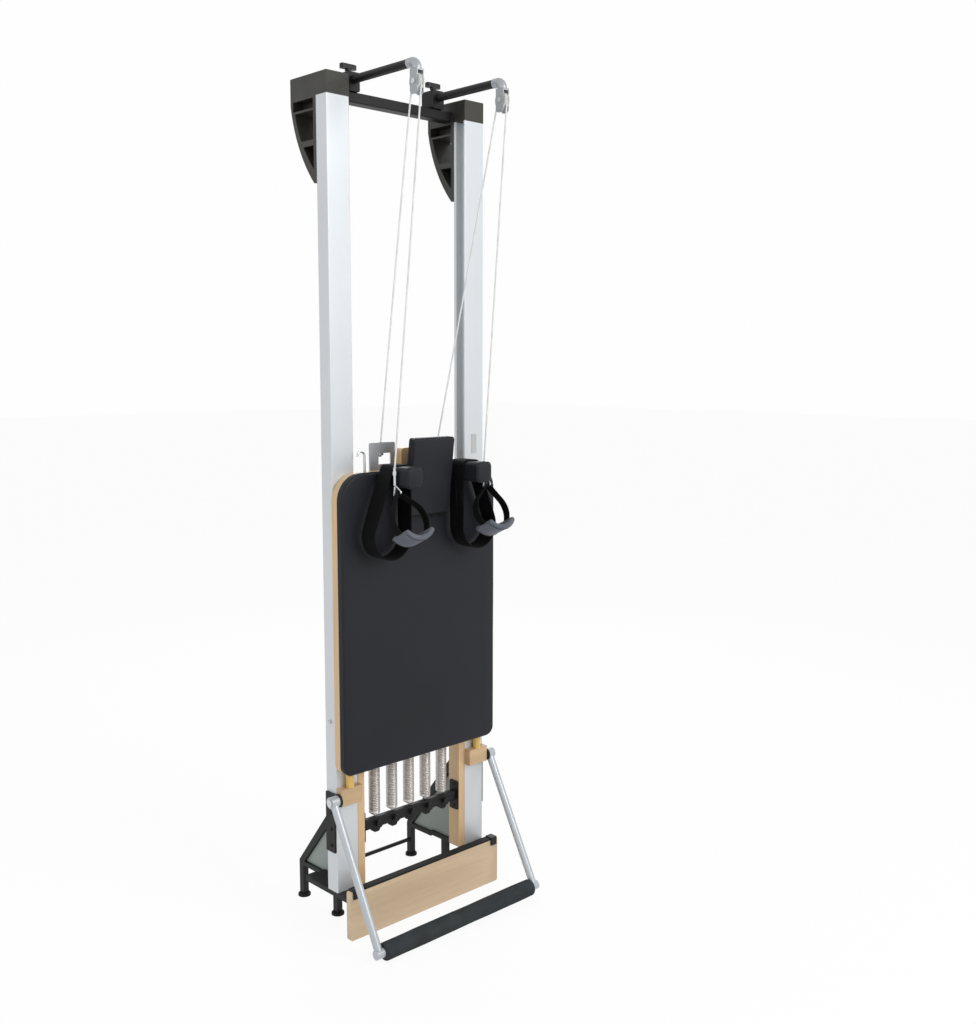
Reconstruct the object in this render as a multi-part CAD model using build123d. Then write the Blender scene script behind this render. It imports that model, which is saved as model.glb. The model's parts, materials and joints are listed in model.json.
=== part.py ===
"""Pilates reformer stored upright on its stand, as an assembly of separate pieces.

Millimetres. X runs from the left rail to the right rail as seen from the front, Y runs
from the front to the back and Z runs up. While the pieces are laid out, Y = 0 is the
front face of the rails and Z = 0 is the floor. The last lines move everything so that
the origin lies on the floor under the middle of the footprint.
"""
import math
import os

from build123d import *

# Clearances
running_gap = 0.3
bore_gap = 0.05
seat_gap = 0.3

# Rails, two hollow aluminium extrusions with a wheel track in their inner sides
rail_length = 2300.0
rail_width = 78.0
rail_depth = 50.0
rail_wall = 3.5
rail_outer_x = 296.0
rail_foot_z = 125.0
rail_inner_x = rail_outer_x - rail_width
rail_middle_x = rail_outer_x - rail_width / 2
rail_top_z = rail_foot_z + rail_length

# Carriage wheels and their track
wheel_radius = 16.2
wheel_width = 15.0
track_lip = 5.0
track_depth = 22.0
track_height = 2 * (wheel_radius + running_gap)
wheel_y = track_lip + track_height / 2
axle_radius = 4.0

# Maple boards on the inner sides of the rails' foot end
board_thickness = 26.0
board_top_z = 520.0
board_inner_x = rail_inner_x - board_thickness

# Head brackets: castings that close the rails' head end and carry the head crossbar
bracket_cap_height = 62.0
bracket_reach = 170.0
bracket_foot_height = 76.0
bracket_flange = 12.0
bracket_drop = 235.0
bracket_strut = 20.0
bracket_web = 10.0
bracket_bulge = 0.68
bracket_link = 16.0
bracket_top_z = rail_top_z + bracket_cap_height
bracket_tail_z = rail_top_z - bracket_drop
pad_thickness = 6.0

# Head crossbar and the pulley posts on it
crossbar_y = 80.0
crossbar_rise = 18.0
crossbar_z = rail_top_z + crossbar_rise
crossbar_height = 30.0
crossbar_depth = 40.0
crossbar_wall = 3.0
post_x = 160.0
post_rise = 32.0
post_z = crossbar_z + crossbar_height / 2 + post_rise
post_radius = 12.0
post_back_y = 118.0
elbow_radius = 19.0
elbow_pipe_radius = 13.5
elbow_socket = 14.0
clamp_width = 44.0
clamp_depth = 52.0
clamp_cover = 21.0
clamp_top_z = post_z + clamp_cover
knob_stem_radius = 5.0
knob_stem_show = 11.0
knob_collar = 5.0
knob_length = 54.0
knob_width = 18.0
knob_height = 14.0

# Rope pulleys
pulley_y = -222.0
pulley_radius = 22.0
pulley_clearance = 5.0
pulley_width = 17.0
pulley_groove_radius = 16.2
pulley_axle_radius = 4.0
cheek_thickness = 3.0
cheek_half_width = 15.0
crown_height = 6.0
pulley_z = post_z - elbow_radius - crown_height - pulley_clearance - pulley_radius
cheek_drop = 12.0

# Carriage deck and its upholstery
deck_margin = 4.0
deck_half_width = rail_outer_x + deck_margin
deck_foot_z = 496.0
deck_length = 884.0
deck_thickness = 25.0
deck_clearance = 2.0
deck_foot_corner = 28.0
deck_head_corner = 80.0
deck_pad_thickness = 25.0
deck_pad_crown = 3.0
deck_pad_edge = 7.0
deck_back_y = -deck_clearance
deck_front_y = deck_back_y - deck_thickness
pad_front_y = deck_front_y - deck_pad_thickness
deck_head_z = deck_foot_z + deck_length
tongue_half_width = 62.0
tongue_length = 64.0

# Carriage chassis under the deck: two aluminium angles that hold the wheels
chassis_clearance = 12.0
chassis_outer_x = rail_inner_x - chassis_clearance
chassis_wall = 6.0
chassis_flange = 40.0
chassis_back_y = 42.0
chassis_foot_margin = 104.0
chassis_head_margin = 50.0
chassis_foot_z = deck_foot_z + chassis_foot_margin
chassis_length = deck_length - chassis_foot_margin - chassis_head_margin
wheel_inset = 90.0

# Springs, between the gear bar and the carriage's spring bar
spring_count = 5
spring_pitch_x = 68.0
spring_y = 25.0
spring_outer_radius = 18.0
spring_wire_radius = 2.5
spring_turns = 18
spring_lead = 14.0
spring_bar_margin = 40.0
spring_bar_z = chassis_foot_z + spring_bar_margin
spring_bar_size = 16.0

# Gear bar, the black bar that the springs hook to
gear_bar_z = 298.0
gear_bar_height = 33.0
gear_bar_depth = 22.0
gear_bar_y = 22.0
gear_hook_radius = 7.0
gear_hook_length = 14.0
gear_plate_thickness = 4.0
gear_plate_height = 96.0
gear_plate_depth = 40.0

# Stop blocks and bumpers that the carriage rests on
stop_z = 398.0
stop_height = 52.0
stop_depth = 24.0
bumper_radius = 12.5
bumper_y = -14.5

# Headrest
headrest_half_width = 80.0
headrest_lap = 130.0
headrest_foot_z = deck_head_z - headrest_lap
headrest_length = 229.0
headrest_board = 12.0
headrest_pad = 20.0
headrest_rest_tilt = 7.0
headrest_crown = 3.0
hinge_pin_radius = 3.0
hinge_knuckle_radius = 5.0
hinge_knuckle_x = (34.0, 72.0)
hinge_leaf = 2.0
hinge_leaf_length = 26.0

# Shoulder rests
rest_inner_x = 106.0
rest_width = 60.0
rest_rise = 20.0
rest_top_z = deck_head_z + rest_rise
rest_height = 60.0
rest_front_y = -182.0
rest_round = 14.0
rest_plate = 5.0
rest_foot_half_width = 24.0
rest_foot_drop = 26.0
rest_screw_radius = 7.0
rest_screw_drop = 14.0

# Foot and hand loops of black webbing
strap_thickness = 4.0
strap_width = 60.0
loop_swing = 4.0
loop_belly_x = rest_inner_x + rest_width + loop_swing
loop_hang = 200.0
loop_belly_z = rest_top_z - loop_hang
loop_belly_radius = 69.5
hand_strap_thickness = 3.0
hand_strap_width = 25.0
hand_loop_radius = 62.0
hand_loop_drop = 80.0
hand_loop_slope = 25.0
hand_loop_shift = -14.0
grip_width = 74.0
grip_thickness = 12.0
grip_half_angle = 54.0
clip_radius = 5.0
clip_length = 50.0
ring_height = 30.0
ring_half_width = 19.5
ring_wire_radius = 2.5
ring_bend = 3.5

# Rope cleats at the head edge of the deck, and the hook beside the left one
cleat_inner_x = 66.0
cleat_width = 94.0
cleat_lap = 40.0
cleat_rise = 82.0
cleat_foot_z = deck_head_z - cleat_lap
cleat_top_z = deck_head_z + cleat_rise
cleat_thickness = 5.0
cleat_window_inset = 16.0
cleat_window_width = 46.0
cleat_window_height = 32.0
cleat_window_drop = 32.0
cleat_bridge_width = 10.0
cleat_bridge_height = 17.0
cleat_bridge_drop = 22.0
ferrule_length = 26.0
ferrule_wall = 3.5
hook_margin = 110.0
hook_x = deck_half_width - hook_margin
hook_wire_radius = 3.5
hook_rise = 46.0
hook_bend = 13.0

# Ropes, from their cleat over the pulley to the clip in front of a shoulder rest
rope_radius = 2.5
rope_wrap_radius = pulley_groove_radius + seat_gap + rope_radius
rope_anchor = (111.0, 11.0, deck_head_z + 65.0)
rope_end = (174.5, -134.0, rest_top_z)
rope_straight_below_pulley = 85.0
rope_gentle_bend = 900.0

# Foot bar
footbar_pivot_y = -12.0
footbar_pivot_z = 417.0
footbar_y = -220.0
footbar_z = 27.0
footbar_arm_radius = 12.0
footbar_core_radius = 12.5
footbar_foam_radius = 26.5
footbar_plate = 6.0
footbar_plate_foot_z = 250.0
footbar_plate_top_z = 432.0
footbar_pin_radius = 6.0
footbar_eye_radius = 17.0
footbar_eye_half = 13.2
footbar_arm_x = rail_outer_x + footbar_plate + running_gap + footbar_eye_half
footbar_end_radius = 14.0
footbar_cap = 2.5

# Stand
stand_margin = 5.0
stand_inner_x = rail_inner_x - stand_margin
stand_bar = 20.0
stand_bar_x = stand_inner_x + stand_bar / 2
channel_thickness = 8.0
channel_height = 15.0
channel_wall = 4.0
channel_back_y = 165.0
rear_leg_y = 281.0
front_leg_y = 102.0
strut_top_z = 424.0
strut_width = 26.0
strut_rise = 44.0
bar_step = 5.0
foot_pad_radius = 20.0
foot_pad_height = 9.0
gusset_thickness = 3.0
cross_rod_radius = 6.5
cross_rod_z = 57.0

# Front board at the foot end
front_board_margin = 4.0
front_board_half_width = rail_outer_x + front_board_margin
front_board_height = 150.0
front_board_thickness = 20.0
front_board_back_y = -48.0
trim_height = 4.0
trim_thickness = 2.0
trim_margin = 8.0
board_clip_width = 24.0
board_clip_thickness = 3.0
board_clip_drop = 24.0

# Wall bumpers on the backs of the rails
wall_bumper_zs = (1724.0, 1808.0)
wall_bumper_radius = 10.0
wall_bumper_length = 29.0

# Small fittings on the rails
travel_plate_z = 1442.0
travel_plate_size = (20.0, 60.0, 1.2)
side_bolt_z = 648.0
side_bolt_radius = 6.0
side_bolt_height = 4.0

os.makedirs("parts", exist_ok=True)


def block(x0, x1, y0, y1, z0, z1):
    """A box between two values on each axis, given in any order."""
    centre = ((x0 + x1) / 2, (y0 + y1) / 2, (z0 + z1) / 2)
    return Pos(*centre) * Box(abs(x1 - x0), abs(y1 - y0), abs(z1 - z0))


def bar_x(radius, x0, x1, y, z):
    """A round bar along X."""
    return Pos((x0 + x1) / 2, y, z) * Rot(0, 90, 0) * Cylinder(radius, abs(x1 - x0))


def bar_y(radius, x, y0, y1, z):
    """A round bar along Y."""
    return Pos(x, (y0 + y1) / 2, z) * Rot(90, 0, 0) * Cylinder(radius, abs(y1 - y0))


def bar_z(radius, x, y, z0, z1):
    """A round bar along Z."""
    return Pos(x, y, (z0 + z1) / 2) * Cylinder(radius, abs(z1 - z0))


def bar_between(radius, start, end):
    """A round bar from one point to another."""
    line = Line(start, end)
    return extrude(Plane(start, z_dir=line.tangent_at(0)) * Circle(radius), line.length)


def side_plate(points, x0, x1):
    """A plate between two X values whose outline is given as (y, z) points."""
    outline = Polyline(*[(x0, y, z) for y, z in points], close=True)
    return extrude(make_face(outline), x1 - x0, dir=(1, 0, 0))


def front_plate(outline, y0, y1):
    """A plate between two Y values from a sketch drawn on XZ, seen from the front."""
    plane = Plane((0, y1, 0), x_dir=(1, 0, 0), z_dir=(0, -1, 0))
    return extrude(plane * outline, y1 - y0)


def both(piece):
    """A piece on the right and its mirror image on the left, as two solids."""
    return Compound([*piece.solids(), *mirror(piece, Plane.YZ).solids()])


def group(*pieces):
    """Several separate solids that share one node."""
    return Compound([solid for piece in pieces for solid in piece.solids()])


def left_of(piece):
    """The mirror image of a right-hand piece."""
    return mirror(piece, Plane.YZ)


# Rails

def rail():
    x0, x1 = rail_inner_x, rail_outer_x
    shell = block(x0, x1, 0, rail_depth, rail_foot_z, rail_top_z)
    long_edges = shell.edges().filter_by(Axis.Z)
    shell = fillet(long_edges, 2.5)
    track = block(x0 - 1, x0 + track_depth, track_lip, track_lip + track_height,
                  rail_foot_z, rail_top_z)
    core = block(x0 + track_depth + rail_wall, x1 - rail_wall, rail_wall,
                 rail_depth - rail_wall, rail_foot_z, rail_top_z)
    return shell - track - core


def rail_board():
    board = block(board_inner_x, rail_inner_x, 0, rail_depth, rail_foot_z, board_top_z)
    return fillet(board.edges().filter_by(Axis.Z), 2)


def wall_bumpers():
    def bumper(z):
        stem = bar_y(wall_bumper_radius * 0.7, rail_middle_x, rail_depth,
                     rail_depth + wall_bumper_length, z)
        head = bar_y(wall_bumper_radius, rail_middle_x,
                     rail_depth + wall_bumper_length * 0.45,
                     rail_depth + wall_bumper_length, z)
        return stem + head
    return group(*[both(bumper(z)) for z in wall_bumper_zs])


def rail_fittings():
    width, height, thickness = travel_plate_size
    plate = block(rail_middle_x - width / 2, rail_middle_x + width / 2, -thickness, 0,
                  travel_plate_z - height / 2, travel_plate_z + height / 2)
    bolt = bar_x(side_bolt_radius, -rail_outer_x - side_bolt_height, -rail_outer_x,
                 rail_depth / 2, side_bolt_z)
    return group(plate, bolt)


# Head brackets

def bracket_arc(offset):
    """Three points of the strut's curve, moved in from its outside by offset."""
    foot_z = bracket_top_z - bracket_foot_height
    tail_y = rail_depth + bracket_flange
    bulge_y = tail_y + (bracket_reach - tail_y) * bracket_bulge
    middle_z = (foot_z + bracket_tail_z) / 2
    return [(bracket_reach - offset, foot_z),
            (bulge_y - offset * 0.9, middle_z + offset * 0.2),
            (tail_y, bracket_tail_z + offset * 1.9)]


def head_bracket():
    x0, x1 = rail_inner_x, rail_outer_x
    a, b, c = bracket_arc(0)
    plane = Plane((x0, 0, 0), x_dir=(0, 1, 0), z_dir=(1, 0, 0))
    outline = Polyline((rail_depth, bracket_tail_z), (rail_depth, rail_top_z),
                       (0, rail_top_z), (0, bracket_top_z),
                       (bracket_reach, bracket_top_z), a)
    outline += ThreePointArc(a, b, c)
    outline += Line(c, (rail_depth, bracket_tail_z))
    body = extrude(plane * make_face(outline), rail_width)
    inner_y = rail_depth + bracket_flange
    web_z = rail_top_z - 37
    link_z = rail_top_z - 124
    a, b, c = bracket_arc(bracket_strut)
    a = (a[0], web_z)
    gap = Polyline(c, (inner_y, web_z), a)
    gap += ThreePointArc(a, b, c)
    gap = extrude(plane * make_face(gap), rail_width)
    link = block(x0, x1, rail_depth, bracket_reach, link_z - bracket_link / 2,
                 link_z + bracket_link / 2)
    body = body - (gap - link)
    side = (rail_width - bracket_web) / 2
    for start in (x0, x1 - side):
        body -= block(start, start + side, inner_y, bracket_reach - 12,
                      web_z + 6, rail_top_z - 4)
    top = body.faces().sort_by(Axis.Z)[-1]
    return fillet(top.edges(), 3)


def bracket_feet():
    top = bracket_top_z - 7
    foot = bracket_top_z - bracket_foot_height + 7
    pad = block(rail_inner_x + 8, rail_outer_x - 8, bracket_reach,
                bracket_reach + pad_thickness, foot, top)
    pad = fillet(pad.edges().filter_by(Axis.Y), 10)
    return both(pad)


# Head crossbar, posts and pulleys

def head_crossbar():
    def tube(shrink):
        return block(-rail_inner_x, rail_inner_x,
                     crossbar_y - crossbar_depth / 2 + shrink,
                     crossbar_y + crossbar_depth / 2 - shrink,
                     crossbar_z - crossbar_height / 2 + shrink,
                     crossbar_z + crossbar_height / 2 - shrink)
    outer = tube(0)
    outer = fillet(outer.edges().filter_by(Axis.X), 4)
    return outer - tube(crossbar_wall)


def post_clamp():
    foot = crossbar_z + crossbar_height / 2
    body = block(post_x - clamp_width / 2, post_x + clamp_width / 2,
                 crossbar_y - clamp_depth / 2, crossbar_y + clamp_depth / 2,
                 foot, clamp_top_z)
    body = fillet(body.edges().filter_by(Axis.Y), 5)
    body -= bar_y(post_radius + bore_gap, post_x, pulley_y, post_back_y + 20, post_z)
    stem_hole = bar_z(knob_stem_radius + bore_gap, post_x, crossbar_y, post_z,
                      clamp_top_z + 1)
    return body - stem_hole


def post_arm():
    front = pulley_y + elbow_radius + elbow_socket
    pipe = bar_y(post_radius, post_x, front, post_back_y, post_z)
    bore = bar_y(post_radius - 2.5, post_x, front, post_back_y - 4, post_z)
    return pipe - bore


def post_elbow():
    bend_start = pulley_y + elbow_radius
    bend_end = post_z - elbow_radius
    path = Line((post_x, bend_start + elbow_socket, post_z), (post_x, bend_start, post_z))
    turn = math.sin(math.radians(45)) * elbow_radius
    middle = (post_x, pulley_y + elbow_radius - turn, bend_end + turn)
    path += ThreePointArc((post_x, bend_start, post_z), middle, (post_x, pulley_y, bend_end))
    start = Plane((post_x, bend_start + elbow_socket, post_z), z_dir=(0, -1, 0))
    return sweep(start * Circle(elbow_pipe_radius), path=path)


def pulley_housing():
    top = post_z - elbow_radius
    crown = block(post_x - pulley_width / 2 - cheek_thickness - 0.5,
                  post_x + pulley_width / 2 + cheek_thickness + 0.5,
                  pulley_y - cheek_half_width, pulley_y + cheek_half_width,
                  top - crown_height, top)
    crown -= block(post_x - rope_radius - 1, post_x + rope_radius + 1, pulley_y - 30,
                   pulley_y + 30, top - crown_height - 1, pulley_z + rope_wrap_radius
                   + rope_radius + running_gap)
    foot = pulley_z - pulley_radius - cheek_drop
    housing = crown
    for side in (-1, 1):
        near = post_x + side * (pulley_width / 2 + 0.5)
        cheek = block(near, near + side * cheek_thickness, pulley_y - cheek_half_width,
                      pulley_y + cheek_half_width, foot, top)
        lower = cheek.edges().filter_by(Axis.X).sort_by(Axis.Z)[:2]
        housing += fillet(lower, 12)
    return housing - bar_x(pulley_axle_radius + bore_gap, post_x - 40, post_x + 40,
                           pulley_y, pulley_z)


def pulley_axle():
    reach = pulley_width / 2 + 0.5 + cheek_thickness
    pin = bar_x(pulley_axle_radius, post_x - reach, post_x + reach, pulley_y, pulley_z)
    head = pulley_axle_radius + 3
    pin += bar_x(head, post_x + reach, post_x + reach + 2.5, pulley_y, pulley_z)
    pin += bar_x(head, post_x - reach - 2.5, post_x - reach, pulley_y, pulley_z)
    return pin


def pulley_wheel():
    half = pulley_width / 2
    wheel = bar_x(pulley_radius, post_x - half, post_x + half, pulley_y, pulley_z)
    floor_half = rope_radius + 0.6
    groove_half = rope_radius + 2.6
    ring = Polyline((pulley_groove_radius, -floor_half), (pulley_radius + 1, -groove_half),
                    (pulley_radius + 1, groove_half), (pulley_groove_radius, floor_half),
                    close=True)
    plane = Plane((post_x, pulley_y, pulley_z), x_dir=(0, 0, 1), z_dir=(0, 1, 0))
    groove = revolve(plane * make_face(ring), Axis((post_x, pulley_y, pulley_z), (1, 0, 0)))
    return wheel - groove - bar_x(pulley_axle_radius + bore_gap, post_x - 40, post_x + 40,
                                  pulley_y, pulley_z)


def knob():
    foot = post_z + post_radius + seat_gap
    z0 = clamp_top_z + seat_gap + knob_stem_show
    stem = bar_z(knob_stem_radius, post_x, crossbar_y, foot, z0)
    head = block(post_x - knob_length / 2, post_x + knob_length / 2,
                 crossbar_y - knob_width / 2, crossbar_y + knob_width / 2,
                 z0, z0 + knob_height)
    head = fillet(head.edges().filter_by(Axis.Z), knob_width * 0.4)
    head = fillet(head.faces().sort_by(Axis.Z)[-1].edges(), 3)
    collar = bar_z(knob_stem_radius + 4, post_x, crossbar_y, z0 - knob_collar, z0)
    return stem + collar + head


# Ropes

def rope_points():
    """The rope's corners from its cleat, over the pulley and down to the loops' clip."""
    top = pulley_z + rope_wrap_radius

    def tangent_y(point_y, point_z, side):
        """Y at the pulley's top of the line from a point that just touches the wrap."""
        dy, dz = pulley_y - point_y, pulley_z - point_z
        reach = math.hypot(dy, dz)
        lean = math.atan2(dy, dz) + side * math.asin(rope_wrap_radius / reach)
        return point_y + math.tan(lean) * (top - point_z), lean

    back_y, back_lean = tangent_y(rope_anchor[1], rope_anchor[2], 1)
    front_y, front_lean = tangent_y(rope_end[1], rope_end[2], -1)
    drop = rope_straight_below_pulley
    return [
        rope_anchor,
        (post_x, back_y - math.tan(back_lean) * drop, top - drop),
        (post_x, back_y, top),
        (post_x, front_y, top),
        (post_x, front_y - math.tan(front_lean) * drop, top - drop),
        rope_end,
    ]


def rope():
    points = rope_points()
    bend = rope_wrap_radius - 0.5
    radii = [rope_gentle_bend, bend, bend, rope_gentle_bend]
    path = FilletPolyline(*points, radius=radii)
    start = Plane(points[0], z_dir=path.tangent_at(0))
    tube = sweep(start * Circle(rope_radius), path=path)
    expected = math.pi * rope_radius ** 2 * path.length
    print(f"rope length {path.length:.0f}, radii {radii}, volume share "
          f"{tube.volume / expected:.4f}")
    return tube


# Carriage

def deck_outline():
    """The deck's outline seen from the front, with smaller corners at the foot end."""
    sketch = Pos(0, deck_foot_z + deck_length / 2) * Rectangle(2 * deck_half_width,
                                                               deck_length)
    corners = sketch.vertices().sort_by(Axis.Y)
    sketch = fillet(corners[:2], deck_foot_corner)
    corners = [v for v in sketch.vertices() if v.Y > deck_head_z - 1]
    return fillet(corners, deck_head_corner)


def deck():
    board = front_plate(deck_outline(), deck_front_y, deck_back_y)
    tongue = block(-tongue_half_width, tongue_half_width, deck_front_y, deck_back_y,
                   deck_head_z - 5, deck_head_z + tongue_length)
    upper = tongue.edges().filter_by(Axis.Y).sort_by(Axis.Z)[-2:]
    return board + fillet(upper, 12)


def crown_cut(half_width, front_y, crown):
    """A long cylinder whose front touches front_y in the middle and falls back by the
    crown at the sides, to round a pad's face."""
    radius = (half_width ** 2 + crown ** 2) / (2 * crown)
    return bar_z(radius, 0, front_y + radius, 0, rail_top_z)


def deck_pad():
    pad = front_plate(deck_outline(), pad_front_y, deck_front_y)
    pad = pad & crown_cut(deck_half_width, pad_front_y, deck_pad_crown)
    front = pad.faces().sort_by(Axis.Y)[0]
    return fillet(front.edges(), deck_pad_edge)


def chassis():
    top = chassis_foot_z + chassis_length
    web = block(chassis_outer_x - chassis_wall, chassis_outer_x, deck_back_y,
                chassis_back_y, chassis_foot_z, top)
    flange = block(chassis_outer_x - chassis_flange, chassis_outer_x, deck_back_y,
                   deck_back_y + chassis_wall, chassis_foot_z, top)
    angle = web + flange
    for z in wheel_heights():
        angle -= bar_x(axle_radius + bore_gap, chassis_outer_x - chassis_flange,
                       chassis_outer_x + chassis_flange, wheel_y, z)
    return angle


def wheel_heights():
    return (chassis_foot_z + wheel_inset, chassis_foot_z + chassis_length - wheel_inset)


def wheel_span():
    far = rail_inner_x + track_depth - 3
    return far - wheel_width, far


def wheel_axle(z):
    near, far = wheel_span()
    inside = chassis_outer_x - chassis_wall
    pin = bar_x(axle_radius, inside, far, wheel_y, z)
    pin += bar_x(axle_radius + 4, inside - 5, inside, wheel_y, z)
    pin += bar_x(axle_radius + 2.5, chassis_outer_x, near - running_gap, wheel_y, z)
    pin += bar_x(axle_radius + 2, far + running_gap, far + 2.4, wheel_y, z)
    pin += bar_x(axle_radius, far - 1, far + 2, wheel_y, z)
    return pin


def carriage_wheel(z):
    near, far = wheel_span()
    wheel = bar_x(wheel_radius, near, far, wheel_y, z)
    wheel = chamfer(wheel.edges().filter_by(GeomType.CIRCLE), 1.5)
    return wheel - bar_x(axle_radius + bore_gap, near - 5, far + 5, wheel_y, z)


def spring_bar():
    reach = chassis_outer_x - chassis_wall
    half = spring_bar_size / 2
    bar = block(-reach, reach, spring_y - half, spring_y + half, spring_bar_z,
                spring_bar_z + spring_bar_size)
    return fillet(bar.edges().filter_by(Axis.X), 2)


def biarc(start, start_dir, end, end_dir):
    """Two arcs that join two points and match the direction at both."""
    chord = end - start
    both_dirs = start_dir + end_dir
    a = 2 * (1 - start_dir.dot(end_dir))
    b = 2 * chord.dot(both_dirs)
    c = -chord.dot(chord)
    reach = -c / b if abs(a) < 1e-9 else (-b + math.sqrt(b * b - 4 * a * c)) / (2 * a)
    middle = (start + end + (start_dir - end_dir) * reach) * 0.5
    first = TangentArc(start, middle, tangent=start_dir)
    second = TangentArc(middle, end, tangent=first.tangent_at(1))
    return [first.edge(), second.edge()]


def coil(x, foot_z, head_z):
    """One spring: leads that stand on the bars at both ends, and turns between them."""
    radius = spring_outer_radius - spring_wire_radius
    low, high = foot_z + spring_lead, head_z - spring_lead
    pitch = (high - low) / spring_turns

    def on_coil(turn):
        angle = 2 * math.pi * turn
        point = Vector(x + radius * math.cos(angle), spring_y + radius * math.sin(angle),
                       low + pitch * turn)
        slope = Vector(-radius * math.sin(angle), radius * math.cos(angle),
                       pitch / (2 * math.pi)).normalized()
        return point, slope

    lead_bend = spring_lead - 2 * spring_wire_radius - 1
    first, first_dir = on_coil(0)
    last, last_dir = on_coil(spring_turns)
    up = Vector(0, 0, 1)
    rise = first - Vector(0, lead_bend, lead_bend)
    leave = last + Vector(0, lead_bend, lead_bend)
    edges = [Line(Vector(rise.X, rise.Y, foot_z), rise).edge()]
    edges += biarc(rise, up, first, first_dir)
    for half in range(2 * spring_turns):
        a, a_dir = on_coil(half / 2)
        b, b_dir = on_coil(half / 2 + 0.5)
        edges += biarc(a, a_dir, b, b_dir)
    edges += biarc(last, last_dir, leave, up)
    edges.append(Line(leave, Vector(leave.X, leave.Y, head_z)).edge())
    path = Wire(edges)
    start = Plane(Vector(rise.X, rise.Y, foot_z), z_dir=(0, 0, 1))
    return sweep(start * Circle(spring_wire_radius), path=path), path, pitch


def least_self_gap(path, pitch):
    """The smallest clear space between two turns, measured on points along the wire."""
    count = 40 * spring_turns
    points = [path.position_at(i / count) for i in range(count + 1)]
    apart = int(count / spring_turns * 0.5)
    gaps = [(points[i] - points[j]).length for i in range(0, count, 3)
            for j in range(i + apart, min(i + 3 * apart, count), 3)]
    return min(gaps) - 2 * spring_wire_radius


def springs():
    foot = gear_bar_z + gear_bar_height / 2 + seat_gap
    head = spring_bar_z - seat_gap
    made = []
    for i in range(spring_count):
        x = (i - (spring_count - 1) / 2) * spring_pitch_x
        wire, path, pitch = coil(x, foot, head)
        made.append(wire)
    print(f"spring: {spring_turns} turns each, pitch {pitch:.1f}, least gap to itself "
          f"{least_self_gap(path, pitch):.2f}")
    return group(*made)


# Gear bar

def gear_bar():
    reach = board_inner_x - gear_plate_thickness
    bar = block(-reach, reach, gear_bar_y - gear_bar_depth / 2,
                gear_bar_y + gear_bar_depth / 2, gear_bar_z - gear_bar_height / 2,
                gear_bar_z + gear_bar_height / 2)
    return fillet(bar.edges().filter_by(Axis.X), 5)


def gear_hooks():
    front = gear_bar_y - gear_bar_depth / 2
    made = []
    for i in range(spring_count):
        x = (i - (spring_count - 1) / 2) * spring_pitch_x
        peg = bar_y(gear_hook_radius, x, front - gear_hook_length, front, gear_bar_z - 2)
        peg += bar_y(gear_hook_radius + 4, x, front - gear_hook_length,
                     front - gear_hook_length + 5, gear_bar_z - 2)
        under = gear_bar_z - gear_bar_height / 2
        lug = block(x - 13, x + 13, gear_bar_y - 8, gear_bar_y + 8, under - 14, under)
        made += [peg, fillet(lug.edges().filter_by(Axis.Y).sort_by(Axis.Z)[:2], 8)]
    return group(*made)


def gear_plates():
    inner = board_inner_x - gear_plate_thickness
    plate = block(inner, board_inner_x, gear_bar_y - gear_plate_depth / 2,
                  gear_bar_y + gear_plate_depth / 2, gear_bar_z - gear_plate_height / 2,
                  gear_bar_z + gear_plate_height / 2)
    plate = fillet(plate.edges().filter_by(Axis.X), 6)
    return both(plate)


# Stops

def stop_block():
    shape = block(rail_inner_x, rail_outer_x, -stop_depth, 0, stop_z, stop_z + stop_height)
    return fillet(shape.faces().sort_by(Axis.Y)[0].edges(), 3)


def stop_bumper():
    top = deck_foot_z - seat_gap
    foot = stop_z + stop_height
    lower = bar_z(bumper_radius, rail_middle_x, bumper_y, foot, top)
    return fillet(lower.edges().sort_by(Axis.Z)[-1], 4)


# Headrest

def headrest_pin():
    """Y and Z of the axis that the headrest turns about."""
    return (pad_front_y - hinge_knuckle_radius - running_gap,
            headrest_foot_z + hinge_knuckle_radius + 1)


def propped(piece):
    """A piece of the headrest, tipped forward about its pin as it stands at rest."""
    return piece.rotate(Axis((0, *headrest_pin()), (1, 0, 0)), headrest_rest_tilt)


def headrest_board_piece():
    z0, z1 = headrest_foot_z, headrest_foot_z + headrest_length
    board = block(-headrest_half_width, headrest_half_width, pad_front_y - headrest_board,
                  pad_front_y - running_gap, z0, z1)
    board = fillet(board.edges().filter_by(Axis.Y), 8)
    lower_back = board.edges().filter_by(Axis.X).group_by(Axis.Z)[0].sort_by(Axis.Y)[-1]
    board = chamfer(lower_back, headrest_board / 2)
    pin_y, pin_z = headrest_pin()
    near, far = (x + end for x, end in zip(hinge_knuckle_x, (-1, 1)))
    for side in (-1, 1):
        board -= bar_x(hinge_knuckle_radius + 2 * running_gap, side * near, side * far,
                       pin_y, pin_z)
        board -= block(side * near, side * far, pad_front_y - headrest_board - 1,
                       pad_front_y, z0 - 1, pin_z)
    board += bar_x(hinge_pin_radius, -near - 2, near + 2, pin_y, pin_z)
    return propped(board)


def headrest_hinges():
    """Two knuckle hinges under the foot edge of the headrest, with their leaf on the deck
    pad's face and the pin along X."""
    pin_y, z = headrest_pin()
    near, far = hinge_knuckle_x
    knuckle = bar_x(hinge_knuckle_radius, near, far, pin_y, z)
    back = pad_front_y - running_gap
    leaf = block(near, far, back - hinge_leaf, back, z - hinge_leaf_length, z)
    bore = bar_x(hinge_pin_radius + bore_gap, near - 1, near + 3 + 1, pin_y, z)
    return both(knuckle + leaf - bore)


def headrest_cushion():
    z0, z1 = headrest_foot_z, headrest_foot_z + headrest_length
    back = pad_front_y - headrest_board
    front = back - headrest_pad
    pad = block(-headrest_half_width, headrest_half_width, front, back, z0, z1)
    pad = fillet(pad.edges().filter_by(Axis.Y), 9)
    pad = pad & crown_cut(headrest_half_width, front, headrest_crown)
    return propped(fillet(pad.faces().sort_by(Axis.Y)[0].edges(), 6))


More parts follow.
